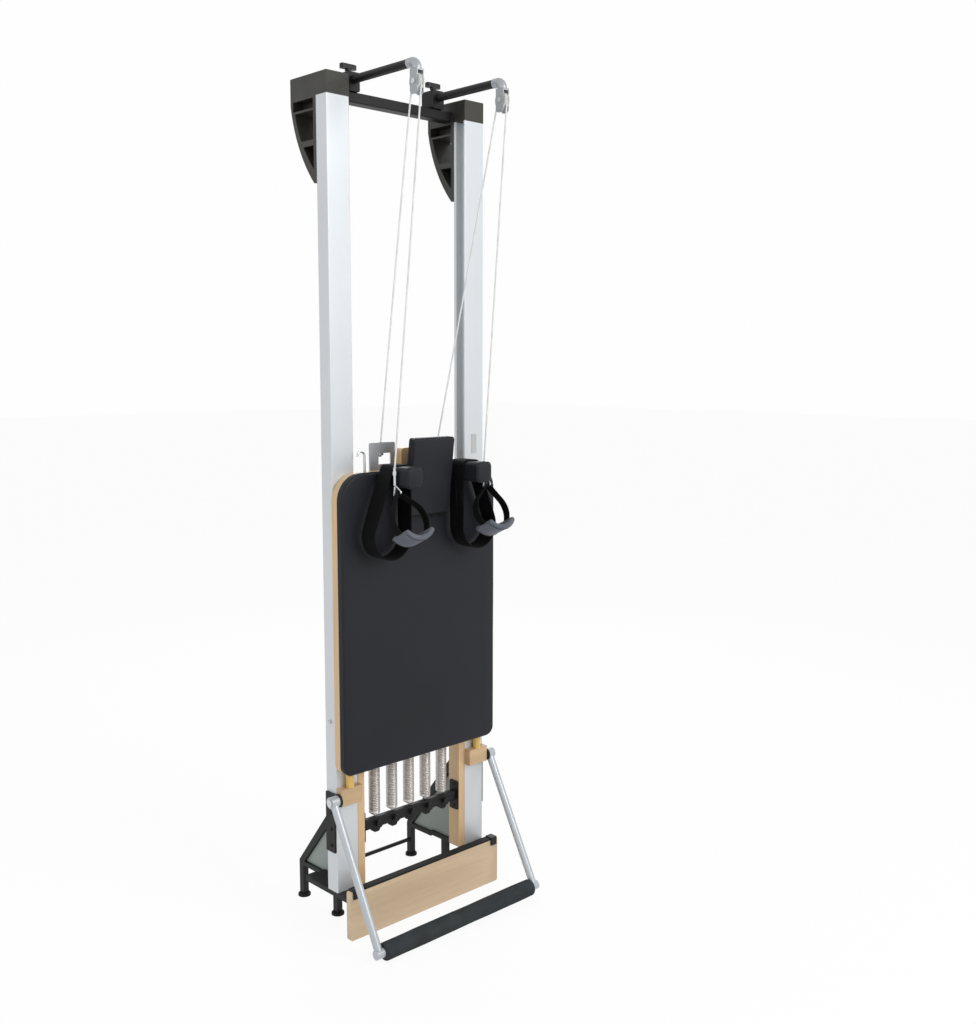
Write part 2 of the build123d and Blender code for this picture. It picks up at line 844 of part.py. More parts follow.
# Shoulder rests

def shoulder_rest():
    back = pad_front_y - rest_plate - running_gap
    pad = block(rest_inner_x, rest_inner_x + rest_width, rest_front_y, back,
                rest_top_z - rest_height, rest_top_z)
    pad = fillet(pad.edges().filter_by(Axis.Y), rest_round)
    return fillet(pad.faces().sort_by(Axis.Y)[0].edges(), 8)


def shoulder_brackets():
    """Steel plates that carry the shoulder rests, screwed to the deck through its pad."""
    middle = rest_inner_x + rest_width / 2
    rest_foot_z = rest_top_z - rest_height
    front = pad_front_y - rest_plate
    foot = block(middle - rest_foot_half_width, middle + rest_foot_half_width,
                 front - running_gap, pad_front_y - running_gap,
                 rest_foot_z - rest_foot_drop, rest_top_z - rest_round)
    foot = fillet(foot.edges().filter_by(Axis.Y), 6)
    foot += bar_y(rest_screw_radius, middle, front - 4, front,
                  rest_foot_z - rest_screw_drop)
    return both(foot)


# Cleats and hook

def rope_cleats():
    x0, x1 = cleat_inner_x, cleat_inner_x + cleat_width
    plate = block(x0, x1, deck_back_y, deck_back_y + cleat_thickness, cleat_foot_z,
                  cleat_top_z)
    plate = fillet(plate.edges().filter_by(Axis.Y), 6)
    window_x = x0 + cleat_window_inset
    window_z = cleat_top_z - cleat_window_drop
    plate -= block(window_x, window_x + cleat_window_width, deck_front_y,
                   deck_back_y + 2 * cleat_thickness, window_z - cleat_window_height,
                   window_z)
    anchor = Vector(*rope_anchor)
    along = (Vector(*rope_points()[1]) - anchor).normalized()
    ferrule = bar_between(rope_radius + ferrule_wall, anchor - along * ferrule_length,
                          anchor - along * seat_gap)
    bridge_z = anchor.Z - cleat_bridge_drop
    bridge = block(anchor.X - cleat_bridge_width / 2, anchor.X + cleat_bridge_width / 2,
                   deck_back_y + cleat_thickness, anchor.Y, bridge_z,
                   bridge_z + cleat_bridge_height)
    return both(plate + bridge + ferrule)


def storage_hook():
    y = (deck_front_y + deck_back_y) / 2
    foot = deck_head_z
    top = foot + hook_rise
    path = Line((-hook_x, y, foot), (-hook_x, y, top))
    path += ThreePointArc((-hook_x, y, top), (-hook_x - hook_bend, y, top + hook_bend),
                          (-hook_x - 2 * hook_bend, y, top))
    return sweep(Plane((-hook_x, y, foot)) * Circle(hook_wire_radius), path=path)


# Loops

def long_loop():
    """A webbing loop that hangs over a shoulder rest and widens to a round belly."""
    back = pad_front_y - rest_plate - 3
    top_radius = rest_round + 0.5 + strap_thickness
    top_z = rest_top_z - rest_round
    left = rest_inner_x + rest_round
    right = rest_inner_x + rest_width - rest_round

    def outline(shrink):
        circles = [Pos(left, top_z) * Circle(top_radius - shrink),
                   Pos(right, top_z) * Circle(top_radius - shrink),
                   Pos(loop_belly_x, loop_belly_z) * Circle(loop_belly_radius - shrink)]
        return make_hull(ShapeList([e for c in circles for e in c.edges()]))

    band = front_plate(outline(0), back - strap_width, back)
    return band - front_plate(outline(strap_thickness), back - strap_width - 1, back + 1)


def hand_loop_plane():
    """The leaning plane of a hand loop, whose Y runs down from the clip's ring."""
    x, y, z = rope_end
    slope = math.radians(hand_loop_slope)
    down = Vector(0, -math.sin(slope), -math.cos(slope))
    origin = Vector(x, y, z - clip_length) + down * ring_height
    return Plane(origin, x_dir=(1, 0, 0), z_dir=Vector(1, 0, 0).cross(down))


def hand_outline(shrink):
    belly = Pos(hand_loop_shift, hand_loop_drop)
    neck = ring_wire_radius + seat_gap + hand_strap_thickness
    circles = [Circle(neck - shrink), belly * Circle(hand_loop_radius - shrink)]
    return make_hull(ShapeList([e for c in circles for e in c.edges()]))


def hand_loop():
    plane = hand_loop_plane()
    half = hand_strap_width / 2
    outer = extrude(plane * hand_outline(0), half, both=True)
    inner = extrude(plane * hand_outline(hand_strap_thickness), half + 1, both=True)
    return outer - inner - grip_ring(hand_loop_radius - hand_strap_thickness - 1,
                                     hand_loop_radius + grip_thickness, half + 1)


def grip_ring(inner_radius, outer_radius, half_width):
    """A bent strip along the bottom of the hand loop."""
    plane = hand_loop_plane()
    belly = Pos(hand_loop_shift, hand_loop_drop)
    ring = Circle(outer_radius) - Circle(inner_radius)
    reach = 2 * outer_radius
    angle = math.radians(grip_half_angle)
    side, depth = reach * math.sin(angle), reach * math.cos(angle)
    wedge = make_face(Polyline((0, 0), (-side, depth), (0, 2 * reach), (side, depth),
                               close=True))
    return extrude(plane * belly * (ring & wedge), half_width, both=True)


def hand_grip():
    inner = hand_loop_radius - hand_strap_thickness - grip_thickness / 2
    outer = hand_loop_radius + grip_thickness / 2
    grip = grip_ring(inner, outer, grip_width / 2)
    return fillet(grip.edges(), 4)


def rope_clip():
    """A snap clip on the rope's end, with a three-cornered ring that holds the loop."""
    x, y, z = rope_end
    foot = z - clip_length
    shank = bar_z(clip_radius, x, y, foot - 1, z - seat_gap)
    shank += bar_z(clip_radius + 2.5, x, y, z - 22, z - 12)
    plane = hand_loop_plane()
    side = plane.z_dir * ring_half_width
    corners = [plane.origin + side, Vector(x, y, foot), plane.origin - side]
    path = FilletPolyline(*corners, radius=ring_bend, close=True)
    start = Plane(path @ 0, z_dir=path % 0)
    return shank + sweep(start * Circle(ring_wire_radius), path=path)


# Foot bar

def footbar_arm():
    pivot = (footbar_arm_x, footbar_pivot_y, footbar_pivot_z)
    end = (footbar_arm_x, footbar_y, footbar_z)
    near, far = footbar_arm_x - footbar_eye_half, footbar_arm_x + footbar_eye_half
    arm = bar_between(footbar_arm_radius, pivot, end)
    arm += bar_x(footbar_eye_radius, near, far, footbar_pivot_y, footbar_pivot_z)
    arm += bar_x(footbar_end_radius, near, far, footbar_y, footbar_z)
    return arm - bar_x(footbar_pin_radius + bore_gap, footbar_arm_x - 40,
                       footbar_arm_x + 40, footbar_pivot_y, footbar_pivot_z)


def footbar_core():
    reach = footbar_arm_x - footbar_eye_half
    return bar_x(footbar_core_radius, -reach, reach, footbar_y, footbar_z)


def footbar_foam():
    reach = footbar_arm_x - footbar_eye_half - 2
    foam = bar_x(footbar_foam_radius, -reach, reach, footbar_y, footbar_z)
    foam = fillet(foam.edges().filter_by(GeomType.CIRCLE), 7)
    return foam - bar_x(footbar_core_radius, -reach - 1, reach + 1, footbar_y, footbar_z)


def footbar_plates():
    """Plates on the outer sides of the rails that carry the foot bar's pivot."""
    inner = rail_outer_x
    outer = rail_outer_x + footbar_plate
    strip = side_plate([(4, footbar_plate_foot_z), (rail_depth - 4, footbar_plate_foot_z),
                        (rail_depth - 4, footbar_plate_top_z),
                        (4, footbar_plate_top_z)], inner, outer)
    lobe = bar_x(footbar_eye_radius + 3, inner, outer, footbar_pivot_y, footbar_pivot_z)
    bridge = block(inner, outer, footbar_pivot_y, 30, footbar_pivot_z - footbar_eye_radius,
                   footbar_plate_top_z)
    plate = strip + lobe + bridge
    plate -= bar_x(footbar_pin_radius, inner - 1, outer + 1, footbar_pivot_y,
                   footbar_pivot_z)
    return both(plate)


def footbar_pins():
    end = footbar_arm_x + footbar_eye_half + running_gap
    pin = bar_x(footbar_pin_radius, rail_outer_x, end, footbar_pivot_y, footbar_pivot_z)
    cap = bar_x(footbar_pin_radius + 5, end, end + footbar_cap, footbar_pivot_y,
                footbar_pivot_z)
    return both(pin + cap)


# Stand

def stand_side():
    """One side of the stand: the shoe under a rail, its two legs and the bar between."""
    foot = rail_foot_z - channel_height
    shoe = block(stand_inner_x, rail_outer_x, front_board_back_y, channel_back_y, foot,
                 rail_foot_z)
    shoe -= block(stand_inner_x + stand_bar, rail_outer_x - channel_wall,
                  front_board_back_y - 1, channel_back_y + 1, foot - 1,
                  rail_foot_z - channel_thickness)
    x0, x1 = stand_inner_x, stand_inner_x + stand_bar
    half = stand_bar / 2
    rear = rear_leg_y + half
    shoe += block(x0, x1, channel_back_y, rear, foot - bar_step, rail_foot_z - bar_step)
    shoe += block(x0, x1, rear_leg_y - half, rear, foot_pad_height, foot)
    shoe += block(x0, x1, front_leg_y - half, front_leg_y + half, foot_pad_height, foot)
    return shoe


def strut_lower_edge():
    """Y and Z of both ends of the brace's lower edge, at the knee and at the rail."""
    knee = rail_foot_z - bar_step
    return ((rear_leg_y + stand_bar / 2 - strut_width, knee),
            (rail_depth, strut_top_z - strut_rise))


def stand_strut():
    """The brace from the rear knee of a side up to the back of its rail."""
    low, high = strut_lower_edge()
    points = [(rear_leg_y + stand_bar / 2, low[1]), (rail_depth, strut_top_z), high, low]
    return side_plate(points, stand_inner_x, stand_inner_x + stand_bar)


def stand_gusset():
    """A thin grey sheet that fills the triangle between the brace, the shoe and the rail."""
    x0 = stand_bar_x - gusset_thickness / 2
    low, high = strut_lower_edge()
    points = [(rail_depth, rail_foot_z), (channel_back_y, rail_foot_z),
              (channel_back_y, low[1]), (low[0] - 2 * seat_gap, low[1]),
              (rail_depth, high[1] - 2 * seat_gap)]
    return side_plate(points, x0, x0 + gusset_thickness)


def stand_foot(y):
    x = stand_bar_x
    pad = bar_z(foot_pad_radius, x, y, 0, foot_pad_height)
    return fillet(pad.edges().sort_by(Axis.Z)[-1], 4)


def cross_rod():
    return bar_x(cross_rod_radius, -stand_inner_x, stand_inner_x, rear_leg_y, cross_rod_z)


# Front board

def front_board():
    y0 = front_board_back_y - front_board_thickness
    board = block(-front_board_half_width, front_board_half_width, y0, front_board_back_y,
                  0, front_board_height)
    return fillet(board.edges().filter_by(Axis.Y), 6)


def board_trim():
    """The black edging that folds over the top edge of the front board."""
    reach = front_board_half_width - trim_margin
    y0 = front_board_back_y - front_board_thickness
    top = front_board_height + trim_thickness
    cover = block(-reach, reach, y0 - trim_thickness, front_board_back_y + trim_thickness,
                  front_board_height - trim_height, top)
    cover -= block(-reach - 1, reach + 1, y0, front_board_back_y,
                   front_board_height - trim_height - 1, front_board_height)
    shoes = block(stand_inner_x, rail_outer_x, front_board_back_y, channel_back_y,
                  rail_foot_z - channel_height, rail_foot_z)
    return cover - shoes - left_of(shoes)


def board_clips():
    """Two small black straps that hook over the ends of the edging."""
    x1 = front_board_half_width - trim_margin
    x0 = x1 - board_clip_width
    y0 = front_board_back_y - front_board_thickness - trim_thickness
    y1 = front_board_back_y + trim_thickness
    foot = front_board_height + trim_thickness
    top = foot + board_clip_thickness
    strap = block(x0, x1, y0 - board_clip_thickness, y0, foot - board_clip_drop, top)
    strap += block(x0, x1, y0 - board_clip_thickness, y1, foot, top)
    return both(strap)


# Export

def footprint_middle():
    """Y of the middle of the footprint, between the foot bar and the rear feet."""
    front = footbar_y - footbar_foam_radius
    back = rear_leg_y + foot_pad_radius
    return (front + back) / 2


def pieces():
    made = {
        "rail_right": rail(),
        "head_bracket_right": head_bracket(),
        "post_clamps": both(post_clamp()),
        "post_arms": both(post_arm()),
        "post_elbows": both(post_elbow()),
        "pulley_housings": both(pulley_housing()),
        "pulley_axles": both(pulley_axle()),
        "pulley_wheel_right": pulley_wheel(),
        "knob_right": knob(),
        "rope_right": rope(),
        "shoulder_rest_right": shoulder_rest(),
    }
    for name in list(made):
        if name.endswith("_right"):
            made[name.replace("_right", "_left")] = left_of(made[name])
    low, high = wheel_heights()
    made["wheel_right_low"] = carriage_wheel(low)
    made["wheel_right_high"] = carriage_wheel(high)
    made["wheel_left_low"] = left_of(carriage_wheel(low))
    made["wheel_left_high"] = left_of(carriage_wheel(high))
    made["wheel_axles"] = group(both(wheel_axle(low)), both(wheel_axle(high)))
    made["foot_loops"] = both(long_loop())
    made["hand_loops"] = both(hand_loop())
    made["hand_grips"] = both(hand_grip())
    made["footbar_arms"] = both(footbar_arm())
    made["stand_sides"] = both(stand_side())
    made["chassis_angles"] = both(chassis())
    made["rail_boards"] = both(rail_board())
    made["head_crossbar"] = head_crossbar()
    made["bracket_feet"] = bracket_feet()
    made["wall_bumpers"] = wall_bumpers()
    made["rail_fittings"] = rail_fittings()
    made["deck"] = deck()
    made["deck_pad"] = deck_pad()
    made["spring_bar"] = spring_bar()
    made["springs"] = springs()
    made["gear_bar"] = gear_bar()
    made["gear_hooks"] = gear_hooks()
    made["gear_plates"] = gear_plates()
    made["stop_blocks"] = both(stop_block())
    made["stop_bumpers"] = both(stop_bumper())
    made["headrest_board"] = headrest_board_piece()
    made["headrest_cushion"] = headrest_cushion()
    made["headrest_hinges"] = headrest_hinges()
    made["shoulder_brackets"] = shoulder_brackets()
    made["rope_cleats"] = rope_cleats()
    made["storage_hook"] = storage_hook()
    made["rope_clips"] = both(rope_clip())
    made["footbar_core"] = footbar_core()
    made["footbar_foam"] = footbar_foam()
    made["footbar_plates"] = footbar_plates()
    made["footbar_pins"] = footbar_pins()
    made["stand_struts"] = both(stand_strut())
    made["stand_gussets"] = both(stand_gusset())
    made["stand_feet"] = group(both(stand_foot(front_leg_y)), both(stand_foot(rear_leg_y)))
    made["stand_cross_rod"] = cross_rod()
    made["front_board"] = front_board()
    made["board_trim"] = board_trim()
    made["board_clips"] = board_clips()
    return made


to_origin = Location((0, -footprint_middle(), 0))
for name, piece in pieces().items():
    export_step(piece.moved(to_origin), f"parts/{name}.step")
print(f"rails' front face at y = {-footprint_middle():.2f}")
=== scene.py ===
import json
import math

import bpy
from mathutils import Matrix, Vector


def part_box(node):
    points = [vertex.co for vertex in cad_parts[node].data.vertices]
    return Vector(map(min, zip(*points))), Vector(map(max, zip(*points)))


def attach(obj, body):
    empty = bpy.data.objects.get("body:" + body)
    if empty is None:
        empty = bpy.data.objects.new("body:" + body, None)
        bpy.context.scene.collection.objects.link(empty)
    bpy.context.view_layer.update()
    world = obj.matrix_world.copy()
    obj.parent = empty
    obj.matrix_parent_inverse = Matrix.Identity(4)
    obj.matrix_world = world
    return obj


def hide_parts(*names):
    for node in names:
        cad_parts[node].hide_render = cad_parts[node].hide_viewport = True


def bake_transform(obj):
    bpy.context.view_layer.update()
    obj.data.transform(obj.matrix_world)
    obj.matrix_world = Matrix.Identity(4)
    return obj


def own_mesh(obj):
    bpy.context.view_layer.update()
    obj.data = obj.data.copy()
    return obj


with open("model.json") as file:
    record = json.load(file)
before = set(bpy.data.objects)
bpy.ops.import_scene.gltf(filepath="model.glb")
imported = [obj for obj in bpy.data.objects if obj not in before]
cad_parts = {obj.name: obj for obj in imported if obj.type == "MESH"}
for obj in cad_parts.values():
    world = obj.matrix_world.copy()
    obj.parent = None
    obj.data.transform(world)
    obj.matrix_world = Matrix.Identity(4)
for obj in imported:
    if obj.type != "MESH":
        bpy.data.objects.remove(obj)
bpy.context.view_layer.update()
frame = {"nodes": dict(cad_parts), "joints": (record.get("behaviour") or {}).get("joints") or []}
nodes = frame["nodes"]


# Camera, floor and light
# The machine is seen from its front left corner, from the height of the carriage, with
# a normal lens. The floor is a pale studio floor under soft, even light.
camera_place = (-2.221, -2.67325, 1.684)
camera_yaw = math.radians(43.84)
camera_pitch = math.radians(7.244)
camera_roll = math.radians(0.131)
lens_mm = 40.27
sensor_mm = 36.0

bpy.ops.object.select_all(action="DESELECT")
bpy.ops.object.camera_add(location=camera_place)
camera = bpy.context.object
turn = Matrix.Rotation(-camera_yaw, 4, "Z") @ Matrix.Rotation(math.pi / 2 - camera_pitch, 4, "X")
turn = turn @ Matrix.Rotation(camera_roll, 4, "Z")
camera.matrix_world = Matrix.Translation(camera_place) @ turn
camera.data.sensor_fit = "VERTICAL"
camera.data.sensor_height = sensor_mm
camera.data.lens = lens_mm
bpy.context.scene.camera = camera
bpy.context.scene.view_settings.view_transform = "Standard"


def new_material(name):
    """A material with its shader, ready for the nodes that the finish needs."""
    material = bpy.data.materials.new(name)
    material.use_nodes = True
    tree = material.node_tree
    return material, tree, tree.nodes["Principled BSDF"]


def seen_directly(tree):
    """One for the camera, for reflections and for what shows through glass."""
    path = tree.nodes.new("ShaderNodeLightPath")
    first = tree.nodes.new("ShaderNodeMath")
    first.operation = "MAXIMUM"
    second = tree.nodes.new("ShaderNodeMath")
    second.operation = "MAXIMUM"
    tree.links.new(path.outputs["Is Camera Ray"], first.inputs[0])
    tree.links.new(path.outputs["Is Glossy Ray"], first.inputs[1])
    tree.links.new(first.outputs[0], second.inputs[0])
    tree.links.new(path.outputs["Is Transmission Ray"], second.inputs[1])
    return second.outputs[0]


world = bpy.data.worlds.new("studio")
bpy.context.scene.world = world
world.use_nodes = True
sky = world.node_tree
room = sky.nodes["Background"]
room.inputs["Color"].default_value = (1.0, 1.0, 1.0, 1.0)
room.inputs["Strength"].default_value = 0.60
backdrop = sky.nodes.new("ShaderNodeBackground")
backdrop.inputs["Color"].default_value = (1.0, 1.0, 1.0, 1.0)
backdrop.inputs["Strength"].default_value = 0.99
choose = sky.nodes.new("ShaderNodeMixShader")
sky.links.new(seen_directly(sky), choose.inputs["Fac"])
sky.links.new(room.outputs[0], choose.inputs[1])
sky.links.new(backdrop.outputs[0], choose.inputs[2])
sky.links.new(choose.outputs[0], sky.nodes["World Output"].inputs["Surface"])

bpy.ops.object.select_all(action="DESELECT")
bpy.ops.mesh.primitive_plane_add(size=70.0, location=(0, 0, -0.0005))
floor = bpy.context.object
floor.name = "studio_floor"
paint, tree, shader = new_material("studio_floor")
shader.inputs["Base Color"].default_value = (0.95, 0.95, 0.945, 1.0)
shader.inputs["Roughness"].default_value = 0.8
glow = tree.nodes.new("ShaderNodeEmission")
glow.inputs["Color"].default_value = (1.0, 1.0, 1.0, 1.0)
blend_floor = tree.nodes.new("ShaderNodeMixShader")
share = tree.nodes.new("ShaderNodeMath")
share.operation = "MULTIPLY"
share.inputs[1].default_value = 0.92
tree.links.new(seen_directly(tree), share.inputs[0])
tree.links.new(share.outputs[0], blend_floor.inputs["Fac"])
tree.links.new(shader.outputs[0], blend_floor.inputs[1])
tree.links.new(glow.outputs[0], blend_floor.inputs[2])
tree.links.new(blend_floor.outputs[0], tree.nodes["Material Output"].inputs["Surface"])
floor.data.materials.append(paint)


def soft_lamp(name, place, aim, size, watts):
    """A large square lamp that points at the machine."""
    bpy.ops.object.select_all(action="DESELECT")
    bpy.ops.object.light_add(type="AREA", location=place)
    lamp = bpy.context.object
    lamp.name = name
    lamp.data.size = size
    lamp.data.energy = watts
    lamp.rotation_euler = (Vector(aim) - Vector(place)).to_track_quat("-Z", "Y").to_euler()


soft_lamp("key_lamp", (0.9, -4.3, 3.3), (0, 0, 1.2), 2.4, 98)
soft_lamp("left_lamp", (-4.4, -0.6, 2.6), (0, 0, 1.2), 2.2, 28)
soft_lamp("back_lamp", (2.6, 2.8, 3.2), (0, 0, 1.3), 2.0, 45)


# Rails
# Two silver anodised aluminium extrusions, brushed along their length. They stand on
# the stand's shoes and are closed at the top by the head brackets.
def group_tree(name, inputs, outputs):
    """An effect that several finishes share, with its named inputs and outputs."""
    tree = bpy.data.node_groups.new(name, "ShaderNodeTree")
    for label, kind, value in inputs:
        socket = tree.interface.new_socket(name=label, in_out="INPUT", socket_type=kind)
        socket.default_value = value
    for label, kind in outputs:
        tree.interface.new_socket(name=label, in_out="OUTPUT", socket_type=kind)
    return tree, tree.nodes.new("NodeGroupInput"), tree.nodes.new("NodeGroupOutput")


def tone_group():
    """Colour that drifts a little lighter and darker over the surface."""
    tree, given, result = group_tree(
        "tone", [("Colour", "NodeSocketColor", (0.5, 0.5, 0.5, 1.0)),
                 ("Size", "NodeSocketFloat", 4.0), ("Amount", "NodeSocketFloat", 0.1)],
        [("Colour", "NodeSocketColor")])
    place = tree.nodes.new("ShaderNodeTexCoord")
    noise = tree.nodes.new("ShaderNodeTexNoise")
    noise.inputs["Detail"].default_value = 4.0
    spread = tree.nodes.new("ShaderNodeMapRange")
    spread.inputs["From Min"].default_value = 0.3
    spread.inputs["From Max"].default_value = 0.7
    lower = tree.nodes.new("ShaderNodeMath")
    lower.operation = "SUBTRACT"
    lower.inputs[0].default_value = 1.0
    upper = tree.nodes.new("ShaderNodeMath")
    upper.operation = "ADD"
    upper.inputs[0].default_value = 1.0
    scale = tree.nodes.new("ShaderNodeVectorMath")
    scale.operation = "SCALE"
    link = tree.links.new
    link(place.outputs["Object"], noise.inputs["Vector"])
    link(given.outputs["Size"], noise.inputs["Scale"])
    link(noise.outputs["Fac"], spread.inputs["Value"])
    link(given.outputs["Amount"], lower.inputs[1])
    link(given.outputs["Amount"], upper.inputs[1])
    link(lower.outputs[0], spread.inputs["To Min"])
    link(upper.outputs[0], spread.inputs["To Max"])
    link(given.outputs["Colour"], scale.inputs[0])
    link(spread.outputs["Result"], scale.inputs["Scale"])
    link(scale.outputs["Vector"], result.inputs["Colour"])
    return tree


def grain_group():
    """Fine relief for paint, plastic and castings, given as a height."""
    tree, given, result = group_tree(
        "grain", [("Size", "NodeSocketFloat", 900.0), ("Stretch", "NodeSocketVector", (1, 1, 1))],
        [("Height", "NodeSocketFloat")])
    place = tree.nodes.new("ShaderNodeTexCoord")
    stretch = tree.nodes.new("ShaderNodeVectorMath")
    stretch.operation = "MULTIPLY"
    noise = tree.nodes.new("ShaderNodeTexNoise")
    noise.inputs["Detail"].default_value = 5.0
    noise.inputs["Roughness"].default_value = 0.6
    link = tree.links.new
    link(place.outputs["Object"], stretch.inputs[0])
    link(given.outputs["Stretch"], stretch.inputs[1])
    link(stretch.outputs["Vector"], noise.inputs["Vector"])
    link(given.outputs["Size"], noise.inputs["Scale"])
    link(noise.outputs["Fac"], result.inputs["Height"])
    return tree


def rub_group():
    """Gloss that changes where hands and dust have been."""
    tree, given, result = group_tree(
        "rub", [("Roughness", "NodeSocketFloat", 0.4), ("Amount", "NodeSocketFloat", 0.1),
                ("Size", "NodeSocketFloat", 9.0)], [("Roughness", "NodeSocketFloat")])
    place = tree.nodes.new("ShaderNodeTexCoord")
    noise = tree.nodes.new("ShaderNodeTexNoise")
    noise.inputs["Detail"].default_value = 7.0
    noise.inputs["Roughness"].default_value = 0.7
    centre = tree.nodes.new("ShaderNodeMath")
    centre.operation = "SUBTRACT"
    centre.inputs[1].default_value = 0.5
    share = tree.nodes.new("ShaderNodeMath")
    share.operation = "MULTIPLY_ADD"
    link = tree.links.new
    link(place.outputs["Object"], noise.inputs["Vector"])
    link(given.outputs["Size"], noise.inputs["Scale"])
    link(noise.outputs["Fac"], centre.inputs[0])
    link(centre.outputs[0], share.inputs[0])
    link(given.outputs["Amount"], share.inputs[1])
    link(given.outputs["Roughness"], share.inputs[2])
    link(share.outputs[0], result.inputs["Roughness"])
    return tree


tone = tone_group()
grain = grain_group()
rub = rub_group()


def placed(tree, group, **values):
    """A copy of a shared effect in a material, with this finish's own values."""
    node = tree.nodes.new("ShaderNodeGroup")
    node.node_tree = group
    for label, value in values.items():
        node.inputs[label].default_value = value
    return node


def relief(tree, height, depth, strength=1.0):
    """A bump of the given depth in metres, ready for a shader's normal."""
    bump = tree.nodes.new("ShaderNodeBump")
    bump.inputs["Distance"].default_value = depth
    bump.inputs["Strength"].default_value = strength
    tree.links.new(height, bump.inputs["Height"])
    return bump.outputs["Normal"]


def plain_finish(name, colour, roughness, metallic=0.0, drift=0.08, drift_size=6.0, rubbing=0.12,
                 grain_size=900.0, stretch=(1, 1, 1), depth=0.00008, coat=0.0, sheen=0.0,
                 shine=0.5):
    """A painted, moulded or metal finish: drifting tone, rubbed gloss and fine grain."""
    material, tree, shader = new_material(name)
    shade = placed(tree, tone, Colour=(*colour, 1.0), Size=drift_size, Amount=drift)
    gloss = placed(tree, rub, Roughness=roughness, Amount=rubbing)
    fine = placed(tree, grain, Size=grain_size, Stretch=stretch)
    link = tree.links.new
    link(shade.outputs["Colour"], shader.inputs["Base Color"])
    link(gloss.outputs["Roughness"], shader.inputs["Roughness"])
    link(relief(tree, fine.outputs["Height"], depth), shader.inputs["Normal"])
    shader.inputs["Metallic"].default_value = metallic
    shader.inputs["Specular IOR Level"].default_value = shine
    shader.inputs["Coat Weight"].default_value = coat
    shader.inputs["Sheen Weight"].default_value = sheen
    return material


def dress(material, *names):
    """Gives CAD nodes their finish."""
    for name in names:
        piece = nodes[name]
        if not piece.material_slots:
            piece.data.materials.append(material)
        for slot in piece.material_slots:
            slot.material = material


anodised = plain_finish("anodised_rail", (0.635, 0.665, 0.69), 0.40, metallic=0.35, drift=0.035,
                        drift_size=2.0, rubbing=0.10, grain_size=700.0, stretch=(1, 1, 0.012),
                        depth=0.00006)
dress(anodised, "rail_left", "rail_right")

brushed_plate = plain_finish("brushed_fitting", (0.52, 0.52, 0.52), 0.35, metallic=0.9,
                             grain_size=1400.0, stretch=(1, 1, 0.05))
dress(brushed_plate, "rail_fittings")


# Maple
# The deck, the boards inside the rails' foot ends, the stop blocks and the front board are
# lacquered maple with a fine straight grain along their longest side.
def maple(name, colour, along):
    """Maple whose grain runs along one axis, given as a scale that is small that way."""
    material, tree, shader = new_material(name)
    place = tree.nodes.new("ShaderNodeTexCoord")
    stretch = tree.nodes.new("ShaderNodeMapping")
    stretch.inputs["Scale"].default_value = along
    rings = tree.nodes.new("ShaderNodeTexNoise")
    rings.inputs["Scale"].default_value = 26.0
    rings.inputs["Detail"].default_value = 3.0
    rings.inputs["Distortion"].default_value = 0.8
    fibre = tree.nodes.new("ShaderNodeTexNoise")
    fibre.inputs["Scale"].default_value = 260.0
    fibre.inputs["Detail"].default_value = 2.0
    both = tree.nodes.new("ShaderNodeMath")
    both.operation = "MULTIPLY_ADD"
    both.inputs[1].default_value = 0.35
    ramp = tree.nodes.new("ShaderNodeValToRGB")
    ramp.color_ramp.elements[0].position = 0.42
    ramp.color_ramp.elements[0].color = (*[c * 0.82 for c in colour], 1.0)
    ramp.color_ramp.elements[1].position = 0.86
    ramp.color_ramp.elements[1].color = (*colour, 1.0)
    gloss = placed(tree, rub, Roughness=0.42, Amount=0.15)
    link = tree.links.new
    link(place.outputs["Object"], stretch.inputs["Vector"])
    link(stretch.outputs["Vector"], rings.inputs["Vector"])
    link(stretch.outputs["Vector"], fibre.inputs["Vector"])
    link(fibre.outputs["Fac"], both.inputs[0])
    link(rings.outputs["Fac"], both.inputs[2])
    link(both.outputs[0], ramp.inputs["Fac"])
    link(ramp.outputs["Color"], shader.inputs["Base Color"])
    link(gloss.outputs["Roughness"], shader.inputs["Roughness"])
    link(relief(tree, fibre.outputs["Fac"], 0.00005), shader.inputs["Normal"])
    shader.inputs["Coat Weight"].default_value = 0.25
    return material


upright_maple = maple("maple_upright", (0.70, 0.48, 0.26), (1, 1, 0.06))
level_maple = maple("maple_level", (0.70, 0.53, 0.35), (0.06, 1, 1))
block_maple = maple("maple_block", (0.60, 0.41, 0.225), (0.06, 1, 1))
dress(upright_maple, "rail_boards", "deck")
dress(level_maple, "front_board")
dress(block_maple, "stop_blocks")


# Head brackets, bars and small fittings
# The brackets are sand castings with a thick satin black paint, and the bars, clamps and
# stand are welded steel in black powder coat. The rest are silver castings, bright steel,
# rubber and urethane.
cast_black = plain_finish("cast_black", (0.030, 0.029, 0.024), 0.45, drift=0.25, drift_size=14.0,
                          rubbing=0.2, grain_size=420.0, depth=0.00035, coat=0.1, shine=0.35)
powder_black = plain_finish("powder_black", (0.0075, 0.0075, 0.008), 0.50, drift=0.2,
                            grain_size=1500.0, depth=0.00012, shine=0.28)
dress(cast_black, "head_bracket_left", "head_bracket_right")
dress(powder_black, "head_crossbar", "post_clamps", "post_arms", "gear_bar", "gear_plates",
      "gear_hooks", "stand_sides", "stand_struts", "stand_cross_rod", "footbar_plates",
      "board_clips", "shoulder_brackets", "headrest_hinges")
silver_casting = plain_finish("silver_casting", (0.40, 0.42, 0.44), 0.38, metallic=0.7, drift=0.1,
                              grain_size=600.0, depth=0.0002)
dress(silver_casting, "post_elbows", "pulley_housings")
chassis_metal = plain_finish("chassis_aluminium", (0.42, 0.43, 0.45), 0.4, metallic=0.8,
                             grain_size=800.0, stretch=(1, 1, 0.02))
dress(chassis_metal, "chassis_angles", "spring_bar", "rope_cleats")
